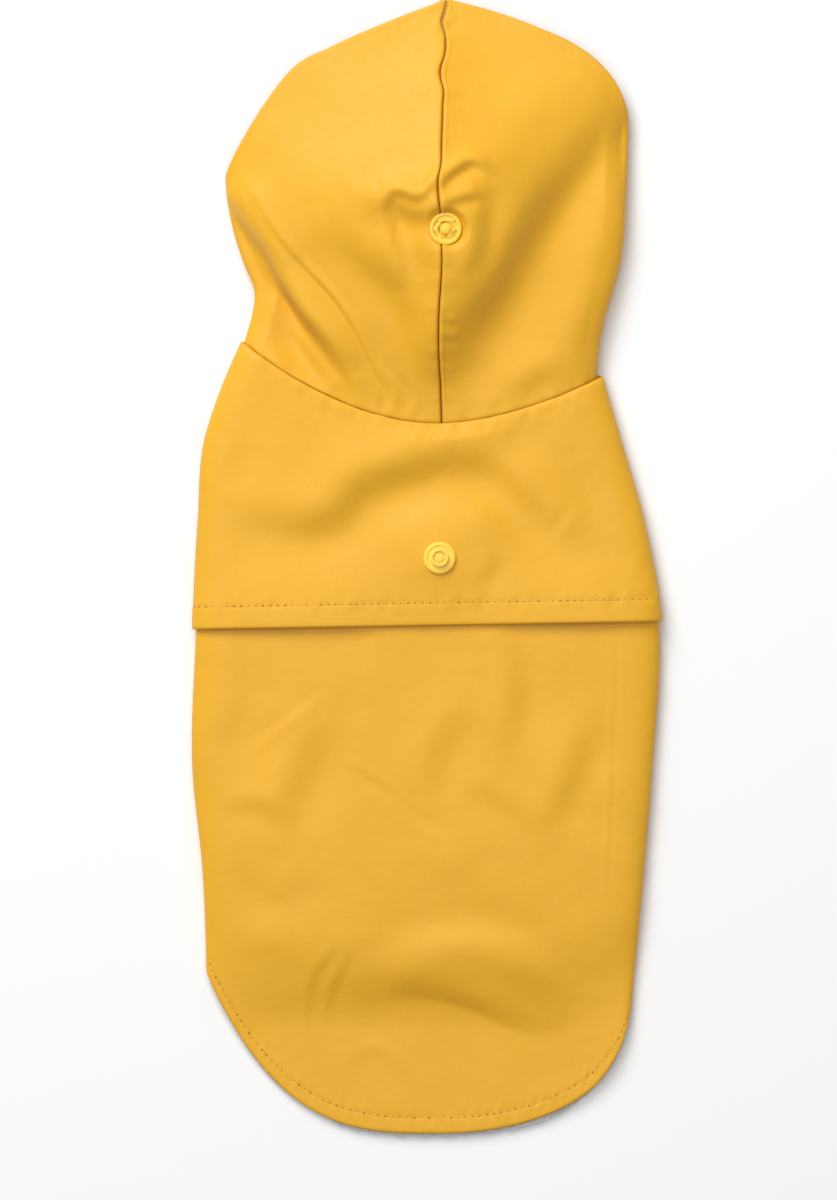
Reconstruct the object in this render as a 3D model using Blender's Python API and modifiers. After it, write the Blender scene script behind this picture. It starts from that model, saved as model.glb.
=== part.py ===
"""A small dog's hooded raincoat, laid flat on a table with its back up.

+Y runs from the tail to the hood's peak and +Z is up. The origin is under the middle of the coat, on the
table. Sizes are in millimetres until cloth_object and turned_object, which put them into metres.

The coat is a flattened tube of coated cloth. Each panel is an open surface through rows of points, its outer
face, and a Solidify gives it its wall. The rows of the back run from the neck seam to the tail hem. The cape
and the lining are made from the back's own points, moved out and in.
"""

import math
from collections import namedtuple

import bpy
import numpy as np
from mathutils import Matrix, Vector

MM = 0.001

# ---------------------------------------------------------------- driving sizes, mm

WALL = 1.2  # coated cloth with its backing
LINING_WALL = 1.5  # terry
GAP = 0.35  # between pieces that are sewn or lie together
LAYER = WALL + GAP
SEAM_SHIFT = 0.65  # along Y, it keeps GAP across the neck seam where that slants
BELLY_GAP = 0.6  # along X, at the underside seams

BODY_HEIGHT = 10.0  # the flattened body, table to its top
BODY_CAMBER = 1.4  # how much higher its middle is
TAIL_HEIGHT = LINING_WALL + GAP + WALL  # the tail is one wall lying on its lining
SIDE_HEM_HEIGHT = 6.0  # the side fold where the hem crosses it
WRAP = 18.0  # how far the back and the cape reach in under the coat

NECK_LOW = 57.2  # lowest point of the neck seam
NECK_LOW_X = 5.0
NECK_RISE_LEFT = (0.0074, 1.92)  # rise = factor * distance ** power
NECK_RISE_RIGHT = (0.0154, 1.70)
UNDER_NECK = {"left": 86.0, "right": 80.0}  # the neck seam where it meets the underside seams

CAPE_HEM_LEFT, CAPE_HEM_RIGHT = -24.6, -21.4  # the hem at the coat's two outermost points
COAT_HALF = 94.6
COAT_LEFT = -94.4
TAIL_LOW = -226.1  # lowest point of the tail hem
TAIL_LOW_X = 3.9
HEM_SIDE_LEFT, HEM_SIDE_RIGHT = -161.6, -176.0  # where the tail hem meets the side folds
HEM_LEFT_POWER = 3.1
HEM_RIGHT_POWER = 2.15  # a quarter ellipse would be 2
UNDER_HEM = -152.0  # the hem where it meets the underside seams
TAIL_DROP_TOP, TAIL_DROP_FOOT = -146.0, -186.0  # the back slopes down past the belly here

HOOD_SEAM_X = 5.2
HOOD_APEX_X = 7.4
HOOD_APEX_Y = 226.3
BRIM_SIDE = {"left": 155.0, "right": 180.0}  # where the brim goes round the side folds
THROAT_X = -1.0
THROAT_STAND = 12.0  # height of the hood in front of the throat
APEX_HEIGHT = 7.0
CROWN_HEIGHT = 25.0
CROWN_Y = 146.0
HOOD_PUFF = 3.5  # how much higher the hood's side folds are than the body's

BELLY_LAP_LEFT, BELLY_LAP_RIGHT = 12.0, -8.0  # the left panel reaches +X under the right one
LAP_BROW, LAP_FOOT = 16.0, 28.0  # the right panel comes down to the table between these
BELLY_HEM_ARCH = 15.0
LEG_HOLES = ((-36.0, 30.0), (40.0, 30.0))
LEG_HOLE_HALF = (17.0, 23.0)

SNAP_PLACES = {"hood": (7.2, 134.4), "cape": (4.9, 3.6)}
SNAP_LIFT = 2.6  # room for the snap's cap between the cape and the back
SNAP_LIFT_REACH = 19.0
HEM_LIFT = (0.9, 0.7)  # the cape's free hem stands this far off the back, and this much more in waves
HEM_WAVE = (17.0, 0.6)  # length and start of those waves
HEM_LIFT_FROM, HEM_LIFT_TO = -10.0, 24.0  # it lifts between these, down from the middle
CAPE_SLACK = 0.15  # the cape's facets span the side folds a little inside its true curve
CLOTH_HOLE_RADIUS = 1.4  # round the snaps' prongs

# ---------------------------------------------------------------- tables

Side = namedtuple("Side", "y left right")

# Outermost points of the back's side folds.
BODY_SIDES = (
    Side(92.0, -72.4, 64.8),
    Side(70.0, -81.8, 70.9),
    Side(50.0, -88.2, 76.7),
    Side(20.0, -90.6, 85.4),
    Side(-25.0, -93.0, 93.2),
    Side(-80.0, -94.6, 90.7),
    Side(-120.0, -90.6, 87.4),
    Side(-176.0, -88.2, 81.6),
)

# Outermost points of the hood's side folds.
HOOD_SIDES = (
    Side(75.0, -77.0, 68.2),
    Side(90.0, -73.6, 69.8),
    Side(100.0, -70.8, 71.8),
    Side(111.0, -69.8, 75.2),
    Side(120.0, -73.4, 77.7),
    Side(130.0, -76.9, 79.2),
    Side(145.0, -80.4, 80.1),
    Side(180.0, -80.9, 81.1),
)

Brim = namedtuple("Brim", "share left right")

# The brim's height up the table, from the peak (share 0) to the side folds (share 1).
BRIM_TOP = (
    Brim(0.00, 226.3, 226.3),
    Brim(0.25, 217.6, 221.6),
    Brim(0.50, 207.8, 214.9),
    Brim(0.70, 197.6, 208.0),
    Brim(0.85, 180.0, 200.2),
    Brim(0.95, 166.2, 193.6),
    Brim(1.00, BRIM_SIDE["left"], BRIM_SIDE["right"]),
)

Fold = namedtuple("Fold", "x0 y0 x1 y1 bow depth half_width")

# The largest folds: a soft trough, or a ridge where depth is negative, from one end to the other, bowed
# sideways by bow in the middle.
BODY_FOLDS = (
    Fold(-60, 18, 30, 52, -8, 0.9, 10),
    Fold(18, 46, 53, 14, 6, 0.7, 9),
    Fold(-88, -76, -44, -50, 3, -0.8, 9),
    Fold(-62, -92, -38, -60, 3, 0.9, 9),
    Fold(64, -64, 49, -96, 5, 0.8, 9),
    Fold(20, -154, -10, -150, 0, -0.8, 14),
)
HOOD_FOLDS = (
    Fold(-72, 129, -30, 72, 3, 2.0, 9),
    Fold(75, 175, 14, 86, 8, 2.6, 11),
)

# ---------------------------------------------------------------- curves


def smooth_through(at, values, where):
    """Values of a smooth curve through a short table, with no overshoot at its ends."""
    at, values, where = (np.asarray(v, float) for v in (at, values, where))
    order = np.argsort(at)
    at, values = at[order], values[order]
    slopes = np.gradient(values, at)
    where = np.clip(where, at[0], at[-1])
    k = np.clip(np.searchsorted(at, where, side="right") - 1, 0, len(at) - 2)
    step = at[k + 1] - at[k]
    t = (where - at[k]) / step
    return (
        (2 * t**3 - 3 * t**2 + 1) * values[k]
        + (t**3 - 2 * t**2 + t) * step * slopes[k]
        + (3 * t**2 - 2 * t**3) * values[k + 1]
        + (t**3 - t**2) * step * slopes[k + 1]
    )


def column(table, name):
    return [getattr(row, name) for row in table]


def body_side(y, side):
    return float(smooth_through(column(BODY_SIDES, "y"), column(BODY_SIDES, side), y))


def hood_side(y, side):
    return float(smooth_through(column(HOOD_SIDES, "y"), column(HOOD_SIDES, side), y))


def ease(value, start, end):
    """0 at start, 1 at end, level at both."""
    t = min(1.0, max(0.0, (value - start) / (end - start)))
    return t * t * (3 - 2 * t)


def blend(a, b, share):
    return a + (b - a) * share


def neck_y(x):
    factor, power = NECK_RISE_LEFT if x < NECK_LOW_X else NECK_RISE_RIGHT
    return NECK_LOW + factor * abs(x - NECK_LOW_X) ** power


def cape_hem_y(x):
    return blend(CAPE_HEM_LEFT, CAPE_HEM_RIGHT, (x - COAT_LEFT) / (2 * COAT_HALF))


def tail_hem_y(x):
    """The tail hem: a flat power curve on the left, a quarter of a slightly square oval on the right."""
    if x < TAIL_LOW_X:
        share = (TAIL_LOW_X - x) / (TAIL_LOW_X - body_side(HEM_SIDE_LEFT, "left"))
        return TAIL_LOW + (HEM_SIDE_LEFT - TAIL_LOW) * min(1.0, share) ** HEM_LEFT_POWER
    share = (x - TAIL_LOW_X) / (body_side(HEM_SIDE_RIGHT, "right") - TAIL_LOW_X)
    depth = max(0.0, 1 - share**HEM_RIGHT_POWER) ** (1 / HEM_RIGHT_POWER)
    return HEM_SIDE_RIGHT + (TAIL_LOW - HEM_SIDE_RIGHT) * depth


def hood_seam_x(y):
    share = max(0.0, (y - NECK_LOW) / (HOOD_APEX_Y - NECK_LOW))
    return HOOD_SEAM_X + (HOOD_APEX_X - HOOD_SEAM_X) * share**6


def fold_relief(folds, x, y):
    """Height that the largest folds add at a point."""
    along = np.linspace(0, 1, 13)
    height = 0.0
    for fold in folds:
        dx, dy = fold.x1 - fold.x0, fold.y1 - fold.y0
        length = math.hypot(dx, dy)
        bow = 4 * along * (1 - along) * fold.bow
        path_x = fold.x0 + along * dx - bow * dy / length
        path_y = fold.y0 + along * dy + bow * dx / length
        distance = np.hypot(path_x - x, path_y - y)
        nearest = int(distance.argmin())
        fade = 0.35 + 0.65 * math.sin(math.pi * along[nearest])
        height -= fold.depth * fade * math.exp(-((distance[nearest] / fold.half_width) ** 2))
    return height


# ---------------------------------------------------------------- sections

TOP_STEPS = 14
FOLD_ANGLES = (0, 40, 80, 115, 150, 180)  # from the table up and over
FOLD_DEPTH = 0.62  # the side fold's reach across, as a share of its height
FLAT_ANGLE = 90  # the fold's outermost point
UNDER_PARTS = (1.0, 0.62)  # spots of the strip under the coat, as shares of WRAP
SEAT_EASE = 16.0  # the back rises onto the cape's turned-under strip over this length
SIDE_THIN_FROM = -110.0  # the side folds are thinner from here to the hem
FLAT_POWER, TAIL_POWER = 5, 3  # how square the upper side is at the side folds, and how much more at the tail

# One point of a section. part is the distance from the fold's outermost point as a share of WRAP on the
# underside, or None on the upper side. edge is 0 in the middle of the upper side and 1 at the side folds.
Spot = namedtuple("Spot", "x z part edge side")


def side_fold(x_side, side, seat, height):
    """The spots of a side fold, from the table up and over."""
    inward = 1 if side == "left" else -1
    spots = []
    for angle in FOLD_ANGLES:
        turn = math.radians(angle)
        reach = FOLD_DEPTH * height * (1 - math.sin(turn))
        part = reach / WRAP if angle <= FLAT_ANGLE else None
        z = seat + height * (1 - math.cos(turn)) / 2
        spots.append(Spot(x_side + inward * reach, z, part, 1.0, side))
    return spots


def body_seat(y):
    """The back lies one layer up where the cape goes under it."""
    return LAYER * ease(y, CAPE_HEM_LEFT - SEAT_EASE, CAPE_HEM_LEFT)


def body_side_top(y):
    return blend(SIDE_HEM_HEIGHT, BODY_HEIGHT, ease(y, HEM_SIDE_RIGHT, SIDE_THIN_FROM))


def body_top(x, y, edge):
    """Height of the back's upper side, with the tail down on the table past the belly's hem."""
    tail = ease(-y, -TAIL_DROP_TOP, -TAIL_DROP_FOOT)
    camber = BODY_CAMBER * (1 - edge**2)
    middle = blend(BODY_HEIGHT + camber, TAIL_HEIGHT, tail)
    middle += fold_relief(BODY_FOLDS, x, y) * (1 - edge**4) * (1 - tail)
    return blend(middle, body_side_top(y), edge ** (FLAT_POWER + TAIL_POWER * tail))


def body_section(side_ys):
    """The spots across the body at one row, given where the row meets the left and right side folds."""
    ends = {}
    for side, y_side in side_ys.items():
        inward = 1 if side == "left" else -1
        x_side = body_side(y_side, side)
        seat = body_seat(y_side)
        fold = side_fold(x_side, side, seat, body_side_top(y_side) - seat)
        under = [Spot(x_side + inward * part * WRAP, seat, part, 1.0, side) for part in UNDER_PARTS]
        ends[side] = (under + fold[:-1], fold[-1])
    left, left_top = ends["left"]
    right, right_top = ends["right"]
    top = []
    for step in range(TOP_STEPS + 1):
        across = step / TOP_STEPS
        top.append(Spot(blend(left_top.x, right_top.x, across), None, None, abs(2 * across - 1), None))
    return left + top + right[::-1]


LINES = {"neck": neck_y, "cape": cape_hem_y, "tail": tail_hem_y}
LINE_ROUNDS = 12  # a line's height and the side fold's place there are found in turns


def line_sides(line):
    """Where a line across the body meets its side folds."""
    if line == "tail":
        return {"left": HEM_SIDE_LEFT, "right": HEM_SIDE_RIGHT}
    found = {}
    for side in ("left", "right"):
        y = 0.0
        for _ in range(LINE_ROUNDS):
            y = LINES[line](body_side(y, side))
        found[side] = y
    return found


def line_y(line, spot):
    """Where a line runs at one spot: over the top by its formula, and straight to the underside seam below."""
    if spot.part is None:
        return LINES[line](spot.x)
    start = line_sides(line)[spot.side]
    if line == "cape":
        return start
    if line == "tail":
        return blend(start, UNDER_HEM, spot.part)
    return blend(start, UNDER_NECK[spot.side], spot.part)


def body_row(upper, lower, share):
    """One row of points across the back, round both side folds and in under it, between two lines."""
    above, below = line_sides(upper), line_sides(lower)
    here = {side: blend(above[side], below[side], share) for side in above}
    row = []
    for spot, high, low in zip(body_section(here), body_section(above), body_section(below)):
        y = blend(line_y(upper, high), line_y(lower, low), share)
        if spot.part is not None:
            inward = 1 if spot.side == "left" else -1
            row.append((body_side(y, spot.side) + inward * spot.part * WRAP, y, spot.z))
        elif spot.z is not None:
            row.append((spot.x, y, spot.z))
        else:
            row.append((spot.x, y, body_top(spot.x, y, spot.edge)))
    return row


CAPE_ROWS, SKIRT_ROWS = 8, 14
SKIRT_POWER = 0.92


def back_rows():
    rows = [body_row("neck", "cape", k / CAPE_ROWS) for k in range(CAPE_ROWS)]
    # The skirt's rows are closer together where the tail drops to the table.
    shares = [(k / SKIRT_ROWS) ** SKIRT_POWER for k in range(SKIRT_ROWS + 1)]
    return np.array(rows + [body_row("cape", "tail", share) for share in shares])


def outward(rows):
    """Unit normals of a grid of points, away from the cloth's inner side."""
    down = np.gradient(rows, axis=0)
    across = np.gradient(rows, axis=1)
    normal = np.cross(down, across)
    return normal / np.linalg.norm(normal, axis=2, keepdims=True)


def cape_lift(x, y, z):
    """How far the cape stands off the back beyond one layer: over the snap's cap, and along its free hem."""
    if z < BODY_HEIGHT / 2:
        return 0.0
    snap_x, snap_y = SNAP_PLACES["cape"]
    near = math.exp(-(((x - snap_x) ** 2 + (y - snap_y) ** 2) / SNAP_LIFT_REACH**2))
    wave = math.sin(x / HEM_WAVE[0] + HEM_WAVE[1]) ** 2
    hem = ease(-y, HEM_LIFT_FROM, HEM_LIFT_TO) * (HEM_LIFT[0] + HEM_LIFT[1] * wave)
    return (SNAP_LIFT * near + hem) * ease(z, BODY_HEIGHT / 2, BODY_HEIGHT)


def cape_rows(back):
    seam = back[: CAPE_ROWS + 1]
    lift = np.array([[cape_lift(*point) for point in row] for row in seam])
    rows = seam + outward(back)[: CAPE_ROWS + 1] * (LAYER + CAPE_SLACK + lift)[:, :, None]
    rows[:, :, 2] = np.maximum(rows[:, :, 2], 0.0)
    return rows


# ---------------------------------------------------------------- hood

HOOD_STEPS, CHEEK_STEPS, HOOD_ROWS = 8, 5, 12
THROAT_POWER = 0.85
NECK_CAMBER = 1.4  # how much higher the hood's middle is at the neck
PUFF_BELOW, PUFF_BEYOND = 20, 25  # the side folds are highest between the neck and the brim
CROWN_FOOT, PEAK_FOOT = -8, 4  # where the crown's rise starts and ends, past the neck and the peak
HOOD_CREASE_POWER, HOOD_EDGE_POWER = 6, 2.6


def under_neck_y(x):
    """The neck seam on the underside, from one underside seam to the other."""
    left = body_side(UNDER_NECK["left"], "left") + WRAP
    right = body_side(UNDER_NECK["right"], "right") - WRAP
    return blend(UNDER_NECK["left"], UNDER_NECK["right"], (x - left) / (right - left))


def brim_y(spot):
    """The brim over the top by its table, and on the underside from the side fold down to the throat."""
    side_x = hood_side(BRIM_SIDE[spot.side], spot.side)
    if spot.part is None:
        share = min(1.0, abs(spot.x - HOOD_APEX_X) / abs(side_x - HOOD_APEX_X))
        return float(smooth_through(column(BRIM_TOP, "share"), column(BRIM_TOP, spot.side), share))
    share = min(1.0, abs(spot.x - side_x) / abs(THROAT_X - side_x))
    return blend(BRIM_SIDE[spot.side], under_neck_y(THROAT_X) + THROAT_STAND, share**THROAT_POWER)


def hood_neck_y(spot):
    if spot.part is None:
        return neck_y(spot.x) + SEAM_SHIFT
    start = line_sides("neck")[spot.side]
    if spot.part <= 1.0:
        return blend(start, UNDER_NECK[spot.side], spot.part) + SEAM_SHIFT
    return under_neck_y(spot.x) + SEAM_SHIFT


def hood_height(y, side):
    """Height of the hood's side fold."""
    puff = math.sin(math.pi * ease(y, NECK_LOW + PUFF_BELOW, BRIM_SIDE[side] + PUFF_BEYOND))
    return BODY_HEIGHT + LAYER + HOOD_PUFF * puff


def hood_top(x, y, side, edge):
    """Height of the hood's upper side: a soft crown that falls to the peak and to the neck seam."""
    if y < CROWN_Y:
        foot, rise = BODY_HEIGHT + LAYER + NECK_CAMBER, ease(y, NECK_LOW + CROWN_FOOT, CROWN_Y)
    else:
        foot, rise = APEX_HEIGHT, 1 - ease(y, CROWN_Y, HOOD_APEX_Y + PEAK_FOOT)
    middle = blend(foot, CROWN_HEIGHT, rise)
    middle += fold_relief(HOOD_FOLDS, x, y) * (1 - edge**HOOD_CREASE_POWER)
    return blend(middle, hood_height(y, side), edge**HOOD_EDGE_POWER)


def hood_section(side, y_side, seam_y):
    """The spots of a hood half from the centre seam over the top, round the side fold and in to the throat."""
    inward = 1 if side == "left" else -1
    x_side = hood_side(y_side, side)
    fold = side_fold(x_side, side, 0.0, hood_height(y_side, side))
    seam_x = hood_seam_x(seam_y) - inward * GAP / 2
    top = []
    for step in range(HOOD_STEPS + 1):
        across = step / HOOD_STEPS
        top.append(Spot(blend(seam_x, fold[-1].x, across), None, None, across, side))
    start_x, end_x = x_side + inward * WRAP, THROAT_X - inward * GAP / 2
    cheek = []
    for step in range(CHEEK_STEPS + 1):
        x = blend(start_x, end_x, step / CHEEK_STEPS)
        cheek.append(Spot(x, 0.0, abs(x - x_side) / WRAP, 1.0, side))
    return top + fold[-2::-1] + cheek


def hood_row(side, share):
    """One row of a hood half, between the neck seam and the brim."""
    neck_side, brim_side = line_sides("neck")[side] + SEAM_SHIFT, BRIM_SIDE[side]
    here = hood_section(side, blend(neck_side, brim_side, share), blend(NECK_LOW, HOOD_APEX_Y, share))
    neck = hood_section(side, neck_side, NECK_LOW)
    brim = hood_section(side, brim_side, HOOD_APEX_Y)
    row = []
    for spot, low, high in zip(here, neck, brim):
        y = blend(hood_neck_y(low), brim_y(high), share)
        z = hood_top(spot.x, y, side, spot.edge) if spot.z is None else spot.z
        row.append((spot.x, y, z))
    return row


def hood_rows(side):
    rows = np.array([hood_row(side, k / HOOD_ROWS) for k in range(HOOD_ROWS + 1)])
    return rows if side == "left" else rows[:, ::-1]


# ---------------------------------------------------------------- belly

BELLY_STEPS, BELLY_ROWS = 8, 12
HEM_ARCH_WIDTH = 150.0  # the arch of the belly's hem


def belly_rows(side):
    """A belly panel from its underside seam to its free edge. The right one lies over the left one."""
    rows = []
    inward = 1 if side == "left" else -1
    free_x = BELLY_LAP_LEFT if side == "left" else BELLY_LAP_RIGHT
    for k in range(BELLY_ROWS + 1):
        row = []
        share = k / BELLY_ROWS
        seam_y = blend(UNDER_NECK[side], UNDER_HEM, share)
        seam_x = body_side(seam_y, side) + inward * (WRAP + BELLY_GAP)
        for step in range(BELLY_STEPS + 1):
            x = blend(seam_x, free_x, step / BELLY_STEPS)
            hem_y = UNDER_HEM + BELLY_HEM_ARCH * math.cos(math.pi * x / HEM_ARCH_WIDTH) ** 2
            y = blend(under_neck_y(x), hem_y, share)
            lap = ease(-x, -LAP_FOOT, -LAP_BROW) if side == "right" else 0.0
            row.append((x, y, LAYER * lap))
        rows.append(row if side == "right" else row[::-1])
    return np.array(rows)


# ---------------------------------------------------------------- lining

LINING_TOP = -122.0
LINING_SHOWS = (-31.0, 67.0)  # it peeks out past the hem between these
LINING_REACH = 2.2  # past the hem
LINING_HIDDEN = 1.2  # and short of it elsewhere
SHOWS_LEFT, SHOWS_RIGHT = (-14, 20), (-6, 14)  # it comes out and goes in over these


def lining_rows(back):
    """The terry that lines the tail: the back's own points moved in, and out past the hem where it shows."""
    first = len(UNDER_PARTS) + len(FOLD_ANGLES) - 1
    inner = back[:, first + 1 : first + TOP_STEPS]
    normals = outward(back)[:, first + 1 : first + TOP_STEPS]
    start = int(np.argmax(inner[:, TOP_STEPS // 2 - 1, 1] < LINING_TOP))
    rows = (inner - normals * LAYER)[start:]
    for point in rows[-1]:
        shows = ease(point[0], LINING_SHOWS[0] + SHOWS_LEFT[0], LINING_SHOWS[0] + SHOWS_LEFT[1])
        shows *= ease(-point[0], -LINING_SHOWS[1] + SHOWS_RIGHT[0], -LINING_SHOWS[1] + SHOWS_RIGHT[1])
        point[1] += LINING_HIDDEN - (LINING_HIDDEN + LINING_REACH) * shows
        point[2] = LINING_WALL
    rows[-2:, :, 2] = LINING_WALL
    return rows


# ---------------------------------------------------------------- Blender objects

SNAP_SIDES, HOLE_SIDES = 20, 28
MERGE = 0.00001  # points on the turning axis this close become one, in metres
CUTTER_LENGTH = 0.03
PLACE_POINTS = 6  # a snap's plane goes through this many points of the cloth

def clear_scene():
    for item in list(bpy.data.objects):
        bpy.data.objects.remove(item, do_unlink=True)


def collection_named(name):
    made = bpy.data.collections.new(name)
    bpy.context.scene.collection.children.link(made)
    return made


def material(name, colour, roughness):
    made = bpy.data.materials.new(name)
    made.use_nodes = True
    shader = made.node_tree.nodes["Principled BSDF"]
    shader.inputs["Base Color"].default_value = (*colour, 1.0)
    shader.inputs["Roughness"].default_value = roughness
    shader.inputs["Metallic"].default_value = 0.0
    return made


def cloth_object(name, rows, wall, look, home):
    """A panel: its outer face is the grid of points, and Solidify puts its wall inside that."""
    count, across = rows.shape[:2]
    faces = []
    for r in range(count - 1):
        for c in range(across - 1):
            corner = r * across + c
            faces.append((corner, corner + across, corner + across + 1, corner + 1))
    mesh = bpy.data.meshes.new(name)
    mesh.from_pydata([tuple(p * MM) for p in rows.reshape(-1, 3)], [], faces)
    mesh.materials.append(look)
    mesh.shade_smooth()
    item = bpy.data.objects.new(name, mesh)
    home.objects.link(item)
    shell = item.modifiers.new("wall", "SOLIDIFY")
    shell.thickness = wall * MM
    shell.offset = -1.0
    shell.use_even_offset = True
    shell.use_quality_normals = True
    return item


def turned_object(name, profile, place, look, home):
    """A solid turned about its own Z: the profile is (radius, height) pairs, in mm."""
    mesh = bpy.data.meshes.new(name)
    edges = [(k, k + 1) for k in range(len(profile) - 1)]
    if profile[0][0] > 0:
        edges.append((len(profile) - 1, 0))
    mesh.from_pydata([(r * MM, 0.0, z * MM) for r, z in profile], edges, [])
    mesh.materials.append(look)
    item = bpy.data.objects.new(name, mesh)
    item.matrix_world = place
    home.objects.link(item)
    turn = item.modifiers.new("turn", "SCREW")
    turn.steps = turn.render_steps = SNAP_SIDES
    turn.axis = "Z"
    turn.use_merge_vertices = True
    turn.merge_threshold = MERGE
    return item


def cutter(name, place, half_x, half_y, home):
    """An upright oval cylinder, through one wall of cloth."""
    bpy.ops.mesh.primitive_cylinder_add(vertices=HOLE_SIDES, radius=1.0, depth=CUTTER_LENGTH)
    item = bpy.context.object
    item.name = name
    for vertex in item.data.vertices:
        vertex.co.x *= half_x * MM
        vertex.co.y *= half_y * MM
    item.matrix_world = place
    item.hide_render = True
    item.display_type = "WIRE"
    for old in list(item.users_collection):
        old.objects.unlink(item)
    home.objects.link(item)
    return item


def cut(item, tool):
    hole = item.modifiers.new(tool.name, "BOOLEAN")
    hole.operation = "DIFFERENCE"
    hole.solver = "EXACT"
    hole.object = tool


def place_on(rows, x, y):
    """A matrix at the point of the upper surface nearest x, y, with its Z along the normal there."""
    upper = rows[outward(rows)[:, :, 2] > 0.5]
    distance = np.hypot(upper[:, 0] - x, upper[:, 1] - y)
    near = np.argsort(distance)[:PLACE_POINTS]
    weight = 1 / (distance[near] + 0.5)
    plane = np.c_[upper[near, :2] - (x, y), np.ones(len(near))] * weight[:, None]
    fit = np.linalg.lstsq(plane, upper[near, 2] * weight, rcond=None)[0]
    normal = Vector((-fit[0], -fit[1], 1.0)).normalized()
    turn = normal.to_track_quat("Z", "Y").to_matrix().to_4x4()
    return Matrix.Translation(Vector((x, y, fit[2])) * MM) @ turn


# (radius, height) pairs, in mm, round each piece of a snap.
SOCKET_PROFILE = (
    (1.4, 1.5),
    (3.1, 1.5),
    (3.4, 2.3),
    (4.6, 2.6),
    (5.8, 2.2),
    (6.4, 1.3),
    (6.2, 0.5),
    (1.4, 0.5),
)
STUD_PROFILE = (
    (1.4, 1.5),
    (2.4, 1.5),
    (2.6, 3.2),
    (3.2, 3.4),
    (3.6, 3.0),
    (3.5, 1.4),
    (5.4, 1.3),
    (5.9, 1.7),
    (6.4, 1.1),
    (6.2, 0.5),
    (1.4, 0.5),
)
CAP_PROFILE = (
    (0.0, 2.5),
    (1.5, 2.3),
    (1.8, 1.9),
    (1.1, 1.8),
    (1.1, -1.5),
    (5.8, -1.6),
    (6.0, -2.1),
    (5.2, -2.7),
    (0.0, -2.7),
)


def build():
    clear_scene()
    coat = collection_named("dog_raincoat")
    tools = collection_named("cutters")
    cloth = material("coated_cloth", (0.91, 0.50, 0.07), 0.45)
    terry = material("terry_lining", (0.62, 0.58, 0.53), 0.95)
    resin = material("snap_resin", (0.98, 0.66, 0.10), 0.25)

    back = back_rows()
    cape = cape_rows(back)
    hood_halves = {"left": hood_rows("left"), "right": hood_rows("right")}
    panels = {
        "back": cloth_object("back", back, WALL, cloth, coat),
        "cape": cloth_object("cape", cape, WALL, cloth, coat),
    }
    for side, rows in hood_halves.items():
        panels["hood_" + side] = cloth_object("hood_" + side, rows, WALL, cloth, coat)
    for side in ("left", "right"):
        panels["belly_" + side] = cloth_object("belly_" + side, belly_rows(side), WALL, cloth, coat)
    cloth_object("lining", lining_rows(back), LINING_WALL, terry, coat)

    for side, (x, y) in zip(("left", "right"), LEG_HOLES):
        tool = cutter("leg_hole_" + side, Matrix.Translation((x * MM, y * MM, 0)), *LEG_HOLE_HALF, tools)
        cut(panels["belly_" + side], tool)

    hood_surface = np.concatenate([hood_halves["left"], hood_halves["right"]], axis=1)
    for name, profile, rows, pierced in (
        ("hood", SOCKET_PROFILE, hood_surface, ("hood_right",)),
        ("cape", STUD_PROFILE, cape, ("cape",)),
    ):
        place = place_on(rows, *SNAP_PLACES[name])
        fixing = "socket" if name == "hood" else "stud"
        turned_object(f"{name}_snap_{fixing}", profile, place, resin, coat)
        turned_object(f"{name}_snap_cap", CAP_PROFILE, place, resin, coat)
        tool = cutter(f"{name}_snap_hole", place, CLOTH_HOLE_RADIUS, CLOTH_HOLE_RADIUS, tools)
        for panel in pierced:
            cut(panels[panel], tool)


build()
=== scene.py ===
"""A small dog's hooded raincoat, laid flat with its back up, as finished panels of coated cloth.

The panels repeat the sizes of the solid model, in millimetres, on a finer grid, and carry the folds, turned
hems, rolled seams and stitches. +Y runs from the tail to the hood's peak and +Z is up.
"""

import math
from collections import namedtuple

import bmesh
import bpy
import numpy as np
from bpy.props import FloatProperty, FloatVectorProperty, IntProperty, PointerProperty
from bpy.types import Operator, Panel, PropertyGroup
from mathutils import Matrix, Vector


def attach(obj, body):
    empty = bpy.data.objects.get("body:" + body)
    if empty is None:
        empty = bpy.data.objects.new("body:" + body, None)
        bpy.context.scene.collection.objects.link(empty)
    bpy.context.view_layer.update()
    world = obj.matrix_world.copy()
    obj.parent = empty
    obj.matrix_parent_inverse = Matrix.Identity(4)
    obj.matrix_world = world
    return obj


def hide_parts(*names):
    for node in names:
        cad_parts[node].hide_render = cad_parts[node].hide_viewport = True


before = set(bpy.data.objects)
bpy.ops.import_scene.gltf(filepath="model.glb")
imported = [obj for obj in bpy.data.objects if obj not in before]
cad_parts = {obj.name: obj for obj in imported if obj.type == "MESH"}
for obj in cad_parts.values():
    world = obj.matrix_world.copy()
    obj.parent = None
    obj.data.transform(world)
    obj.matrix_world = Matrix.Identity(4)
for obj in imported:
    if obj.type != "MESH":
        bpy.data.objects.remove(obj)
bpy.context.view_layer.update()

bl_info = {
    "name": "Dog Raincoat",
    "version": (1, 0, 0),
    "blender": (4, 5, 0),
    "location": "View3D > Sidebar > Raincoat",
    "description": "Builds a hooded dog raincoat from coated cloth panels, with its hems, stitches and snaps",
    "category": "Object",
}

MM = 0.001

# ---------------------------------------------------------------- sizes of the solid model, mm

LAYER = 1.55
SEAM_SHIFT = 0.18
BELLY_GAP = 0.6
BODY_HEIGHT = 10.0
TAIL_HEIGHT = 3.05
SIDE_HEM_HEIGHT = 6.0
WRAP = 18.0
FOLD_DEPTH = 0.62

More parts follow.
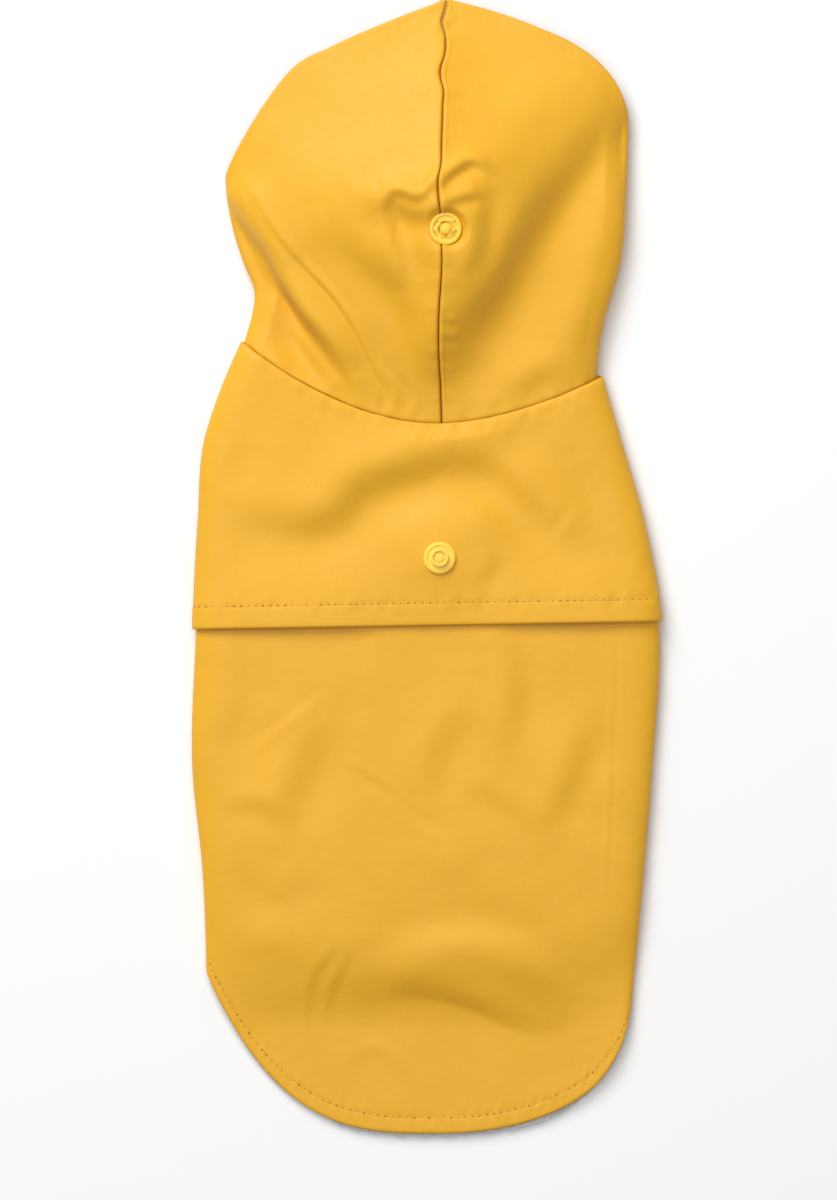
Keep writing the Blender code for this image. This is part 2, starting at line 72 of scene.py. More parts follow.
NECK_LOW = 57.2
NECK_LOW_X = 5.0
NECK_RISE_LEFT = (0.0074, 1.92)
NECK_RISE_RIGHT = (0.0154, 1.70)
UNDER_NECK = {"left": 86.0, "right": 80.0}
CAPE_HEM_LEFT, CAPE_HEM_RIGHT = -24.6, -21.4
CAPE_HEM_FROM, CAPE_HEM_WIDTH = -94.4, 189.2
TAIL_LOW = -226.1
TAIL_LOW_X = 3.9
HEM_SIDE_LEFT, HEM_SIDE_RIGHT = -161.6, -176.0
HEM_LEFT_POWER, HEM_RIGHT_POWER = 3.1, 2.15
UNDER_HEM = -152.0
TAIL_DROP_TOP, TAIL_DROP_FOOT = -146.0, -186.0
SIDE_THIN_FROM = -110.0
SEAT_EASE = 16.0
BODY_CAMBER = 1.4
FLAT_POWER, TAIL_POWER = 5, 3

HOOD_SEAM_X, HOOD_APEX_X, HOOD_APEX_Y = 5.2, 7.4, 226.3
SEAM_LEAN_POWER = 6
BRIM_SIDE = {"left": 155.0, "right": 180.0}
THROAT_X, THROAT_STAND = -1.0, 12.0
APEX_HEIGHT, CROWN_HEIGHT, CROWN_Y = 7.0, 25.0, 146.0
HOOD_PUFF = 3.5

BELLY_LAP_LEFT, BELLY_LAP_RIGHT = 12.0, -8.0
LAP_BROW, LAP_FOOT = 16.0, 28.0
BELLY_HEM_ARCH = 15.0
LEG_HOLES = ((-36.0, 30.0), (40.0, 30.0))
LEG_HOLE_HALF = (17.0, 23.0)
SNAP_PLACES = {"hood": (7.2, 134.4), "cape": (4.9, 3.6)}
SNAP_LIFT, SNAP_LIFT_REACH = 2.6, 19.0
CAPE_SLACK = 0.15
LINING_TOP = -122.0

Side = namedtuple("Side", "y left right")
BODY_SIDES = (
    Side(92.0, -72.4, 64.8),
    Side(70.0, -81.8, 70.9),
    Side(50.0, -88.2, 76.7),
    Side(20.0, -90.6, 85.4),
    Side(-25.0, -93.0, 93.2),
    Side(-80.0, -94.6, 90.7),
    Side(-120.0, -90.6, 87.4),
    Side(-176.0, -88.2, 81.6),
)
HOOD_SIDES = (
    Side(75.0, -77.0, 68.2),
    Side(90.0, -73.6, 69.8),
    Side(100.0, -70.8, 71.8),
    Side(111.0, -69.8, 75.2),
    Side(120.0, -73.4, 77.7),
    Side(130.0, -76.9, 79.2),
    Side(145.0, -80.4, 80.1),
    Side(180.0, -80.9, 81.1),
)
Brim = namedtuple("Brim", "share left right")
BRIM_TOP = (
    Brim(0.00, 226.3, 226.3),
    Brim(0.25, 217.6, 221.6),
    Brim(0.50, 207.8, 214.9),
    Brim(0.70, 197.6, 208.0),
    Brim(0.85, 180.0, 200.2),
    Brim(0.95, 166.2, 193.6),
    Brim(1.00, BRIM_SIDE["left"], BRIM_SIDE["right"]),
)

# ---------------------------------------------------------------- folds

# A fold steps the cloth down by fall across its path, over about twice its width.
# A negative fall steps it up.
# start and end are what is left of it at the path's ends. Paths run left to right, or up where they are
# steep, and a fall's crest is on its left.
Fold = namedtuple("Fold", "fall width start end path")
HOOD_FOLDS = (
    # left half: a fine crease from the cheek to the neck, and the deep fold beside it
    Fold(0.50, 1.3, 0.7, 0.2, (
        (-77, 158), (-68, 146), (-60.7, 134.8), (-48.5, 119.2),
        (-38.5, 108), (-30.7, 97), (-21, 78), (-15, 66),
    )),
    Fold(5.00, 6.4, 0.9, 0.2, (
        (-76, 142), (-70.5, 133), (-64.5, 124), (-60.5, 115), (-55.5, 107),
        (-50.5, 99), (-44.5, 91), (-38.5, 83), (-33, 75),
    )),
    Fold(1.60, 3.0, 0.6, 0.2, ((-72, 136), (-64.5, 123), (-59.5, 113), (-53, 102), (-45, 91))),
    Fold(2.30, 20.0, 0.7, 0.7, ((-80, 136), (-50, 130), (-20, 122), (2, 118))),
    Fold(1.00, 5.0, 0.4, 0.4, ((-72, 112), (-64, 100), (-55, 91), (-46, 81), (-38, 74))),
    Fold(0.95, 7.0, 0.4, 0.4, ((-66, 144), (-54, 126), (-43, 111), (-32, 97), (-22, 84))),
    Fold(-0.80, 2.6, 0.2, 0.2, ((-67, 112), (-58, 102.5), (-47, 89), (-34, 72))),
    Fold(0.75, 6.0, 0.1, 0.5, ((-38, 134), (-26, 123), (-14, 110), (-5, 94), (0, 80))),
    Fold(0.16, 2.6, 0.2, 0.2, ((-49, 133), (-52, 148))),
    Fold(0.16, 2.6, 0.2, 0.2, ((-38, 130), (-42, 145))),
    Fold(0.18, 2.6, 0.2, 0.2, ((-27, 148), (-29, 159))),
    Fold(0.34, 1.8, 0.2, 0.7, ((-19, 78), (-14.5, 69), (-16.5, 62))),
    Fold(0.22, 1.8, 0.2, 0.7, ((-11, 78), (-6, 68), (-8, 60))),
    Fold(0.20, 2.2, 0.2, 0.7, ((-34, 80), (-31, 74), (-31.5, 66))),
    # round the snap
    Fold(2.10, 6.2, 0.5, 0.7, ((-18, 143), (-12, 143.5), (-4, 141), (2, 141))),
    Fold(0.85, 2.0, 0.5, 0.7, ((-15.4, 144), (-12.5, 148), (-8, 147.8), (-4, 146.4), (1.5, 148), (4.6, 153))),
    Fold(0.90, 4.0, 0.1, 0.9, ((-6, 112), (-10.7, 125), (-13.5, 135), (-15.4, 145))),
    Fold(1.45, 2.5, 0.9, 0.3, ((6.5, 152), (10.5, 156.5), (16, 159.5), (23, 157))),
    Fold(0.80, 2.2, 0.9, 0.3, ((9.0, 145.0), (13, 146.2), (19.5, 147))),
    Fold(0.95, 4.6, 0.3, 0.4, ((13, 114), (15.5, 118), (19.5, 126), (21.5, 139), (21.5, 152))),
    Fold(0.30, 1.5, 0.9, 0.2, ((6.4, 98), (12.4, 97.4))),
    Fold(0.30, 1.8, 0.9, 0.2, ((7.4, 91.5), (13, 90))),
    # right half: one broad fold from the cheek to the seam
    Fold(3.70, 10.0, 0.6, 0.8, ((13, 87), (24, 106), (35, 125), (44, 140), (60, 160), (77, 178))),
    Fold(2.30, 12.0, 0.3, 0.5, ((12, 126), (26, 146), (40, 163), (58, 180), (72, 194))),
    Fold(-1.20, 10.0, 0.2, 0.3, ((34, 74), (50, 94), (66, 118), (77, 150))),
    Fold(0.35, 1.6, 0.9, 0.1, ((6.5, 215.5), (9.5, 217), (13, 219.5))),
    Fold(0.35, 9.0, 0.2, 0.2, ((14, 176), (30, 178), (46, 174))),
    Fold(0.45, 5.0, 0.3, 0.3, ((32, 66), (44, 76), (56, 79))),
)

CAPE_FOLDS = (
    Fold(2.10, 9.0, 0.5, 0.4, ((-64, 19), (-50, 17), (-38, 19), (-25, 31), (-6, 38), (11, 43), (28, 51))),
    Fold(1.20, 7.5, 0.2, 0.6, ((10, 42), (27, 38), (41, 26), (53, 13))),
    Fold(-0.20, 2.4, 0.6, 0.3, ((52, 13), (58, 23))),
    Fold(-0.30, 6.0, 0.3, 0.3, ((10, 24), (22, 23), (32, 12))),
    Fold(0.35, 7.0, 0.4, 0.3, ((-84, 28), (-80, 40), (-76, 52))),
    Fold(0.24, 3.6, 0.3, 0.2, ((21, -8), (29, 6))),
    Fold(0.60, 8.0, 0.2, 0.3, ((67, 44), (72, 30), (77, 14))),
    Fold(0.30, 2.6, 0.3, 0.3, ((83, -5), (88, 7))),
)

BODY_FOLDS = (
    # just under the cape
    Fold(0.36, 6.0, 0.3, 0.7, ((-84, -76), (-76.5, -54), (-78, -30))),
    Fold(-0.18, 1.8, 0.2, 0.3, ((-72, -73), (-56, -61), (-41, -49))),
    Fold(0.80, 8.0, 0.3, 0.2, ((-57, -106), (-54, -94), (-47, -76), (-38, -58))),
    Fold(0.14, 1.8, 0.3, 0.2, ((-31, -80), (-21, -85), (-12, -91))),
    Fold(-0.14, 2.2, 0.2, 0.2, ((-10, -96), (0, -104), (8, -108))),
    Fold(0.65, 6.5, 0.2, 0.7, ((32, -74), (36, -51), (34, -30))),
    Fold(0.60, 7.0, 0.2, 0.2, ((1, -92), (5, -74), (15, -56))),
    Fold(0.70, 6.5, 0.3, 0.3, ((50, -105), (58, -84), (67, -62))),
    Fold(0.55, 6.0, 0.2, 0.3, ((16, -86), (32, -96), (47, -108))),
    Fold(0.10, 1.1, 0.3, 0.5, ((71, -138), (74, -72), (75, -27))),
    Fold(0.30, 4.0, 0.2, 0.2, ((-84, -98), (-68, -95), (-54, -104))),
    Fold(0.25, 6.0, 0.2, 0.2, ((-74, -124), (-58, -131), (-44, -122))),
    Fold(0.28, 7.0, 0.2, 0.2, ((-8, -114), (8, -122), (24, -118))),
    Fold(0.30, 8.0, 0.2, 0.2, ((-82, -146), (-66, -152), (-52, -147))),
    # where the tail drops past the belly's hem
    Fold(-0.90, 7.5, 0.2, 0.3, ((-23, -160), (0, -149), (22, -147), (45, -157), (66, -176))),
    Fold(1.30, 8.5, 0.3, 0.3, ((-18, -173), (-4, -171), (10, -174), (24, -179), (38, -185), (54, -189))),
    Fold(0.24, 2.4, 0.3, 0.3, ((-47, -187), (-45, -164), (-34, -150))),
    Fold(0.24, 2.4, 0.3, 0.3, ((-41, -186), (-37, -168), (-30, -152))),
    Fold(0.22, 3.0, 0.2, 0.3, ((-32, -200), (-21, -194), (-8, -206))),
)

BELLY_FOLDS = (
    Fold(0.40, 3.0, 0.2, 0.2, ((-70, 60), (-52, 20), (-58, -40))),
    Fold(0.35, 3.4, 0.2, 0.2, ((-30, -10), (-24, -60), (-34, -120))),
    Fold(0.40, 3.0, 0.2, 0.2, ((66, 50), (52, 0), (60, -60))),
    Fold(0.30, 3.2, 0.2, 0.2, ((22, 4), (30, -50), (22, -110))),
)

# ---------------------------------------------------------------- curves


def smooth_through(at, values, where):
    """Values of a smooth curve through a short table, with no overshoot at its ends."""
    at, values, where = (np.asarray(v, float) for v in (at, values, where))
    order = np.argsort(at)
    at, values = at[order], values[order]
    slopes = np.gradient(values, at)
    where = np.clip(where, at[0], at[-1])
    k = np.clip(np.searchsorted(at, where, side="right") - 1, 0, len(at) - 2)
    step = at[k + 1] - at[k]
    t = (where - at[k]) / step
    return (
        (2 * t**3 - 3 * t**2 + 1) * values[k]
        + (t**3 - 2 * t**2 + t) * step * slopes[k]
        + (3 * t**2 - 2 * t**3) * values[k + 1]
        + (t**3 - t**2) * step * slopes[k + 1]
    )


def read(table, name, where):
    """A smooth curve through one named column of a table, over its first column."""
    return smooth_through([row[0] for row in table], [getattr(row, name) for row in table], where)


def ease(value, start, end):
    """0 at start, 1 at end, level at both."""
    t = np.clip((np.asarray(value, float) - start) / (end - start), 0.0, 1.0)
    return t * t * (3 - 2 * t)


def blend(a, b, share):
    return a + (b - a) * share


def bell(value, width):
    """1 at 0, and falling away evenly on both sides."""
    return np.exp(-((value / width) ** 2))


def body_side(y, side):
    return read(BODY_SIDES, side, y)


def hood_side(y, side):
    return read(HOOD_SIDES, side, y)


def neck_y(x):
    away = np.abs(x - NECK_LOW_X)
    left = NECK_RISE_LEFT[0] * away ** NECK_RISE_LEFT[1]
    right = NECK_RISE_RIGHT[0] * away ** NECK_RISE_RIGHT[1]
    return NECK_LOW + np.where(x < NECK_LOW_X, left, right)


def cape_hem_y(x):
    return blend(CAPE_HEM_LEFT, CAPE_HEM_RIGHT, (x - CAPE_HEM_FROM) / CAPE_HEM_WIDTH)


def tail_hem_y(x):
    left_reach = TAIL_LOW_X - body_side(HEM_SIDE_LEFT, "left")
    left = np.clip((TAIL_LOW_X - x) / left_reach, 0.0, 1.0)
    right = np.clip((x - TAIL_LOW_X) / (body_side(HEM_SIDE_RIGHT, "right") - TAIL_LOW_X), 0.0, 1.0)
    on_left = TAIL_LOW + (HEM_SIDE_LEFT - TAIL_LOW) * left**HEM_LEFT_POWER
    oval = (1 - right**HEM_RIGHT_POWER) ** (1 / HEM_RIGHT_POWER)
    return np.where(x < TAIL_LOW_X, on_left, HEM_SIDE_RIGHT + (TAIL_LOW - HEM_SIDE_RIGHT) * oval)


def hood_seam_x(y):
    share = np.maximum(0.0, (y - NECK_LOW) / (HOOD_APEX_Y - NECK_LOW))
    return HOOD_SEAM_X + (HOOD_APEX_X - HOOD_SEAM_X) * share**SEAM_LEAN_POWER


def under_neck_y(x):
    left = body_side(UNDER_NECK["left"], "left") + WRAP
    right = body_side(UNDER_NECK["right"], "right") - WRAP
    return blend(UNDER_NECK["left"], UNDER_NECK["right"], (x - left) / (right - left))


LINES = {"neck": neck_y, "cape": cape_hem_y, "tail": tail_hem_y}
LINE_ROUNDS = 12


def line_sides(line):
    """Where a line across the body meets its side folds."""
    if line == "tail":
        return {"left": HEM_SIDE_LEFT, "right": HEM_SIDE_RIGHT}
    found = {}
    for side in ("left", "right"):
        y = 0.0
        for _ in range(LINE_ROUNDS):
            y = float(LINES[line](body_side(y, side)))
        found[side] = y
    return found


# ---------------------------------------------------------------- relief


PATH_POINTS = 28
FOLD_REACH = 3.2
FOLD_FADE_AT = (0, 0.22, 0.78, 1)


def smooth_path(points):
    """A finer line through a few points."""
    points = np.array(points, float)
    at = np.r_[0, np.cumsum(np.hypot(*np.diff(points, axis=0).T))]
    where = np.linspace(0, at[-1], PATH_POINTS)
    return np.c_[smooth_through(at, points[:, 0], where), smooth_through(at, points[:, 1], where)]


def fold_relief(folds, x, y):
    """Height that a table of folds adds at each point."""
    height = np.zeros_like(x)
    for fold in folds:
        path = smooth_path(fold.path)
        reach = FOLD_REACH * fold.width
        near = (
            (x > path[:, 0].min() - reach)
            & (x < path[:, 0].max() + reach)
            & (y > path[:, 1].min() - reach)
            & (y < path[:, 1].max() + reach)
        )
        if not near.any():
            continue
        px, py = x[near][:, None], y[near][:, None]
        start, step = path[:-1], np.diff(path, axis=0)
        length = np.hypot(step[:, 0], step[:, 1])
        unit = step / length[:, None]
        along = np.clip((px - start[:, 0]) * unit[:, 0] + (py - start[:, 1]) * unit[:, 1], 0, length)
        gap_x = px - start[:, 0] - along * unit[:, 0]
        gap_y = py - start[:, 1] - along * unit[:, 1]
        gap = np.hypot(gap_x, gap_y)
        k = gap.argmin(axis=1)
        row = np.arange(len(k))
        heading = np.gradient(path, axis=0)
        heading /= np.hypot(heading[:, 0], heading[:, 1])[:, None]
        share = (along[row, k] / length[k])[:, None]
        turned = blend(heading[k], heading[k + 1], share)
        signed = gap_y[row, k] * turned[:, 0] - gap_x[row, k] * turned[:, 1]
        distance = gap[row, k]
        done = (np.r_[0, np.cumsum(length)][k] + along[row, k]) / length.sum()
        fade = smooth_through(FOLD_FADE_AT, (fold.start, 1, 1, fold.end), done)
        step_down = (signed / fold.width) * np.exp(0.5 - distance**2 / (2 * fold.width**2))
        height[near] += fold.fall * fade * step_down
    return height


FINE_SWELL = 0.02
SHORT_WAVES = 9


def ripples(x, y, seed, size, count=26):
    """Uneven low swells about size across, as a sum of a few waves."""
    draw = np.random.default_rng(seed)
    total = np.zeros_like(x)
    for _ in range(count):
        turn = draw.uniform(0, 2 * math.pi)
        wave = 2 * math.pi / (size * draw.uniform(0.6, 1.9))
        total += np.sin(wave * (x * math.cos(turn) + y * math.sin(turn)) + draw.uniform(0, 2 * math.pi))
    return total / math.sqrt(count)


def swells(x, y, seed, height, size, fine):
    """Broad low swells, with fainter ones on them."""
    return height * ripples(x, y, seed, size) + FINE_SWELL * ripples(x, y, seed + 1, fine)


def seam_pucker(along, away, seed, size, reach):
    """Puckers that a seam draws into the cloth beside it."""
    return ripples(along, away * 0.4, seed, size, SHORT_WAVES) * bell(away, reach)


# ---------------------------------------------------------------- the body's surface

Grid = namedtuple("Grid", "points edge part")
Section = namedtuple("Section", "x z part edge")
UNDER_STEPS, FOLD_STEPS = 7, 19
SHOULDER_SPREAD = 9.0


def side_section(y_side, side, height, seat):
    """x, z and part from the underside seam round a side fold to its top."""
    inward = 1 if side == "left" else -1
    x_side = body_side(y_side, side)
    foot = FOLD_DEPTH * height / WRAP
    part = np.linspace(1.0, foot, UNDER_STEPS, endpoint=False)
    turn = np.linspace(0, math.pi, FOLD_STEPS)
    reach = FOLD_DEPTH * height * (1 - np.sin(turn))
    x = np.r_[x_side + inward * part * WRAP, x_side + inward * reach]
    z = np.r_[np.full(UNDER_STEPS, seat), seat + height * (1 - np.cos(turn)) / 2]
    under = np.r_[part, np.where(turn <= math.pi / 2, reach / WRAP, np.nan)]
    return x, z, under


def body_seat(y):
    return LAYER * ease(y, CAPE_HEM_LEFT - SEAT_EASE, CAPE_HEM_LEFT)


def body_side_top(y):
    return blend(SIDE_HEM_HEIGHT, BODY_HEIGHT, ease(y, HEM_SIDE_RIGHT, SIDE_THIN_FROM))


def body_section(side_ys, across):
    """The section across the body at one row. Its z and part are nan over the top."""
    ends = {}
    for side, y_side in side_ys.items():
        seat = float(body_seat(y_side))
        height = float(body_side_top(y_side)) - seat
        ends[side] = side_section(y_side, side, height, seat)
    left, right = ends["left"], ends["right"]
    top_x = blend(left[0][-1], right[0][-1], across)
    x = np.r_[left[0], top_x[1:-1], right[0][::-1]]
    z = np.r_[left[1][:-1], np.full(len(across), np.nan), right[1][:-1][::-1]]
    part = np.r_[left[2], np.full(len(across) - 2, np.nan), right[2][::-1]]
    edge = np.r_[np.ones(len(left[0]) - 1), np.abs(2 * across - 1), np.ones(len(right[0]) - 1)]
    return Section(x, z, part, edge)


def line_y(line, x, part, sides, middle):
    """Where a line runs at each spot of a section: over the top by its formula, straight below."""
    over = LINES[line](x)
    under = np.zeros_like(x)
    for side, pick in (("left", np.arange(len(x)) < middle), ("right", np.arange(len(x)) >= middle)):
        end = {"cape": sides[side], "tail": UNDER_HEM, "neck": UNDER_NECK[side]}[line]
        under = np.where(pick, blend(sides[side], end, np.nan_to_num(part)), under)
    return np.where(np.isnan(part), over, under)


def body_top(y, edge):
    """Height of the back's upper side, with the tail down on the table past the belly's hem."""
    tail = ease(-y, -TAIL_DROP_TOP, -TAIL_DROP_FOOT)
    camber = BODY_CAMBER * (1 - edge**2)
    middle = blend(BODY_HEIGHT + camber, TAIL_HEIGHT, tail)
    return blend(middle, body_side_top(y), edge ** (FLAT_POWER + TAIL_POWER * tail))


def body_grid(upper, lower, shares, across):
    """Rows of points across the back, round both side folds and in under it, between two lines."""
    above, below = line_sides(upper), line_sides(lower)
    high = body_section(above, across)
    low = body_section(below, across)
    middle = len(high.x) // 2
    y_high = line_y(upper, high.x, high.part, above, middle)
    y_low = line_y(lower, low.x, low.part, below, middle)
    sign = np.where(np.arange(len(high.x)) < middle, 1.0, -1.0)
    points, edges, parts = [], [], []
    for share in shares:
        here = {side: blend(above[side], below[side], share) for side in above}
        x, z, part, edge = body_section(here, across)
        y = blend(y_high, y_low, share)
        side_x = np.where(sign > 0, body_side(y, "left"), body_side(y, "right"))
        x = np.where(np.isnan(part), x, side_x + sign * np.nan_to_num(part) * WRAP)
        z = np.where(np.isnan(z), body_top(y, edge), z)
        points.append(np.c_[x, y, z])
        edges.append(edge)
        parts.append(part)
    count = len(points[0])
    shoulders = [UNDER_STEPS + FOLD_STEPS + 2, count - UNDER_STEPS - FOLD_STEPS - 3]
    return Grid(rounded_shoulders(np.array(points), shoulders, 60), np.array(edges), np.array(parts))


def outward(points):
    """Unit normals of a grid of points, away from the cloth's inner side."""
    down = np.gradient(points, axis=0)
    over = np.gradient(points, axis=1)
    normal = np.cross(down, over)
    return normal / np.maximum(np.linalg.norm(normal, axis=2, keepdims=True), 1e-9)


def run_lengths(points, axis):
    """Distance along a grid's rows (axis 0) or columns (axis 1) from its first line."""
    step = np.linalg.norm(np.diff(points, axis=axis), axis=2)
    start = np.zeros_like(np.take(step, [0], axis=axis))
    return np.concatenate([start, np.cumsum(step, axis=axis)], axis=axis)


def rounded_shoulders(points, centres, times):
    """Evens out a grid's rows near given columns, where the upper side turns into a side fold."""
    index = np.arange(points.shape[1])
    weight = np.zeros(points.shape[1])
    for centre in centres:
        weight = np.maximum(weight, bell(index - centre, SHOULDER_SPREAD))
    weight[weight < 0.02] = 0
    points = points.copy()
    for _ in range(times):
        middle = (points[:, :-2] + points[:, 2:]) / 2
        points[:, 1:-1] += 0.8 * weight[None, 1:-1, None] * (middle - points[:, 1:-1])
    return points


def facing_up(normals):
    return ease(normals[:, :, 2], 0.15, 0.75)


HEM_GROOVE, HEM_PUCKER, HEM_NOSE = 0.14, 0.16, 0.12


def hem_relief(from_edge, along, stitch_at, raise_by, seed):
    """A turned hem: a slightly raised band, a groove at its stitches, and the puckers that they draw in."""
    band = ease(from_edge, 0.2, 1.0) * (1 - ease(from_edge, stitch_at - 0.9, stitch_at + 0.1))
    groove = HEM_GROOVE * bell(from_edge - stitch_at, 0.75)
    pucker = HEM_PUCKER * ripples(along, from_edge * 0.35, seed, 5.5, SHORT_WAVES)
    pucker = pucker * bell(from_edge - stitch_at, 3.4)
    return raise_by * band - groove + pucker - HEM_NOSE * bell(from_edge, 0.7)


# ---------------------------------------------------------------- meshes


def steps_between(*stops):
    """Numbers from 0 to 1 made of (end, count) stretches, each evenly filled."""
    values, start = [0.0], 0.0
    for end, count in stops:
        values += list(np.linspace(start, end, count + 1)[1:])
        start = end
    return np.array(values)


RIM_ROUND = 0.45
UV_SCALE = 0.01


def shell_mesh(name, points, normals, wall):
    """A closed shell: the grid is its outer face, the inner one a wall inside, the rim rounded."""
    rows, across = points.shape[:2]
    inner = points - normals * wall[:, :, None]
    index = np.arange(rows * across).reshape(rows, across)
    loop = np.r_[index[:, 0], index[-1, 1:], index[-2::-1, -1], index[0, -2:0:-1]]
    flat_outer, flat_inner = points.reshape(-1, 3), inner.reshape(-1, 3)
    ahead, behind = np.roll(loop, -1), np.roll(loop, 1)
    tangent = flat_outer[ahead] - flat_outer[behind]
    out = np.cross(tangent, normals.reshape(-1, 3)[loop])
    out /= np.maximum(np.linalg.norm(out, axis=1, keepdims=True), 1e-9)
    half_wall = wall.reshape(-1)[loop][:, None]
    middle = (flat_outer[loop] + flat_inner[loop]) / 2 + out * half_wall * RIM_ROUND
    count = rows * across
    vertices = np.concatenate([flat_outer, flat_inner, middle])
    a, b = index[:-1, :-1].ravel(), index[1:, :-1].ravel()
    c, d = index[1:, 1:].ravel(), index[:-1, 1:].ravel()
    ring = 2 * count + np.arange(len(loop))
    ring_ahead = np.roll(ring, -1)
    faces = np.concatenate([
        np.c_[a, b, c, d],
        np.c_[a, d, c, b] + count,
        np.c_[ahead, loop, ring, ring_ahead],
        np.c_[ring_ahead, ring, loop + count, ahead + count],
    ])
    u, v = run_lengths(points, 1).ravel(), run_lengths(points, 0).ravel()
    uv = np.concatenate([np.c_[u, v], np.c_[u, v], np.c_[u[loop], v[loop]]]) * UV_SCALE
    return mesh_object(name, vertices, faces, uv)


def mesh_object(name, vertices, faces, uv=None):
    """A smooth mesh object from arrays in millimetres."""
    mesh = bpy.data.meshes.new(name)
    mesh.vertices.add(len(vertices))
    mesh.vertices.foreach_set("co", (np.asarray(vertices) * MM).astype(np.float32).ravel())
    sides = faces.shape[1]
    mesh.loops.add(faces.size)
    mesh.loops.foreach_set("vertex_index", faces.astype(np.int32).ravel())
    mesh.polygons.add(len(faces))
    mesh.polygons.foreach_set("loop_start", np.arange(0, faces.size, sides, dtype=np.int32))
    mesh.polygons.foreach_set("loop_total", np.full(len(faces), sides, np.int32))
    mesh.update(calc_edges=True)
    mesh.validate()
    mesh.shade_smooth()
    if uv is not None:
        layer = mesh.uv_layers.new(name="cloth_uv")
        layer.data.foreach_set("uv", uv[faces.ravel()].astype(np.float32).ravel())
    item = bpy.data.objects.new(name, mesh)
    bpy.context.scene.collection.objects.link(item)
    return item


def finish_piece(item, look, slot, *nodes):
    """Gives a piece its material and its place in the frame."""
    item.data.materials.clear()
    item.data.materials.append(look)
    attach(item, "root")
    if nodes:
        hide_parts(*nodes)


# ---------------------------------------------------------------- panels

ACROSS = steps_between((0.03, 6), (0.97, 168), (1.0, 6))
CAPE_SHARES = steps_between((0.04, 5), (0.85, 66), (1.0, 26))
SKIRT_SHARES = steps_between((0.95, 150), (1.0, 22))

THREAD_LIFT = 0.02
HOLE_LENGTH, HOLE_RADIUS, HOLE_LIFT = 1.25, 0.47, -0.20
CAPE_STITCH_AT = 8.7
TAIL_STITCH_AT = 6.0
BRIM_TURN, BRIM_SOFTNESS = 3.0, 0.35
BACK_SWELL, CAPE_SWELL, HOOD_SWELL = 0.20, 0.16, 0.20
HEM_BAND, BRIM_BAND = 0.05, 0.06
TROUGH_ROUND = 0.12
TROUGH_LOW, TAIL_TROUGH_RISE = -4.0, 3.85
UNDER_CAPE_SINK = 2.6
NECK_ROLL, NECK_ROLL_WIDTH = 0.35, 0.6

# How far the cape's free hem stands off the back, from its left end to its right.
HemLift = namedtuple("HemLift", "x lift")
CAPE_HEM_LIFT = (
    HemLift(-100, 0.6),
    HemLift(-84, 1.4),
    HemLift(-60, 2.2),
    HemLift(-34, 2.0),
    HemLift(-20, 0.9),
    HemLift(0, 0.5),
    HemLift(16, 0.6),
    HemLift(34, 1.5),
    HemLift(60, 2.3),
    HemLift(84, 1.6),
    HemLift(100, 0.6),
)


def snap_flat(points, key, inner=6.0, outer=11.0):
    """1 away from a snap, 0 under it."""
    x, y = SNAP_PLACES[key]
    return ease(np.hypot(points[:, :, 0] - x, points[:, :, 1] - y), inner, outer)


def body_relief(x, y, up, edge, from_hem):
    """Folds and swells of the back. Where the tail lies on its lining they only rise."""
    relief = fold_relief(BODY_FOLDS, x, y) * (1 - 0.6 * edge**10)
    relief += swells(x, y, 11, BACK_SWELL, 38, 11)
    relief *= up * ease(-y, 2, 22) * (0.25 + 0.75 * ease(from_hem, 2.0, 14.0))
    lowest = TROUGH_LOW + TAIL_TROUGH_RISE * ease(-y, 146.0, 172.0)
    return lowest + TROUGH_ROUND * np.logaddexp(0.0, (relief - lowest) / TROUGH_ROUND)


def back_surface():
    """The whole back from the neck seam to the tail hem, with its folds and hem."""
    hidden = body_grid("neck", "cape", np.linspace(0, 0.94, 14), ACROSS)
    shown = body_grid("cape", "tail", SKIRT_SHARES, ACROSS)
    near = body_grid("neck", "cape", np.linspace(0.95, 0.995, 4), ACROSS)
    points = np.concatenate([hidden.points, near.points, shown.points])
    edge = np.concatenate([hidden.edge, near.edge, shown.edge])
    normals = outward(points)
    x, y = points[:, :, 0], points[:, :, 1]
    up = facing_up(normals)
    down = run_lengths(points, 0)
    over = run_lengths(points, 1)
    from_hem = down[-1:] - down
    relief = body_relief(x, y, up, edge, from_hem)
    # Under the cape the back sinks a little, so that the cape's folds stay clear of it.
    under_cape = ease(y, -14.0, 6.0) * (1 - ease(edge, 0.80, 0.97)) * (1 - ease(y, 44.0, 56.0) * 0.6)
    relief = relief - UNDER_CAPE_SINK * under_cape
    relief += hem_relief(from_hem, over, TAIL_STITCH_AT, HEM_BAND, 21)
    points = points + normals * relief[:, :, None]
    points[:, :, 2] = np.maximum(points[:, :, 2], 0.0)
    return points


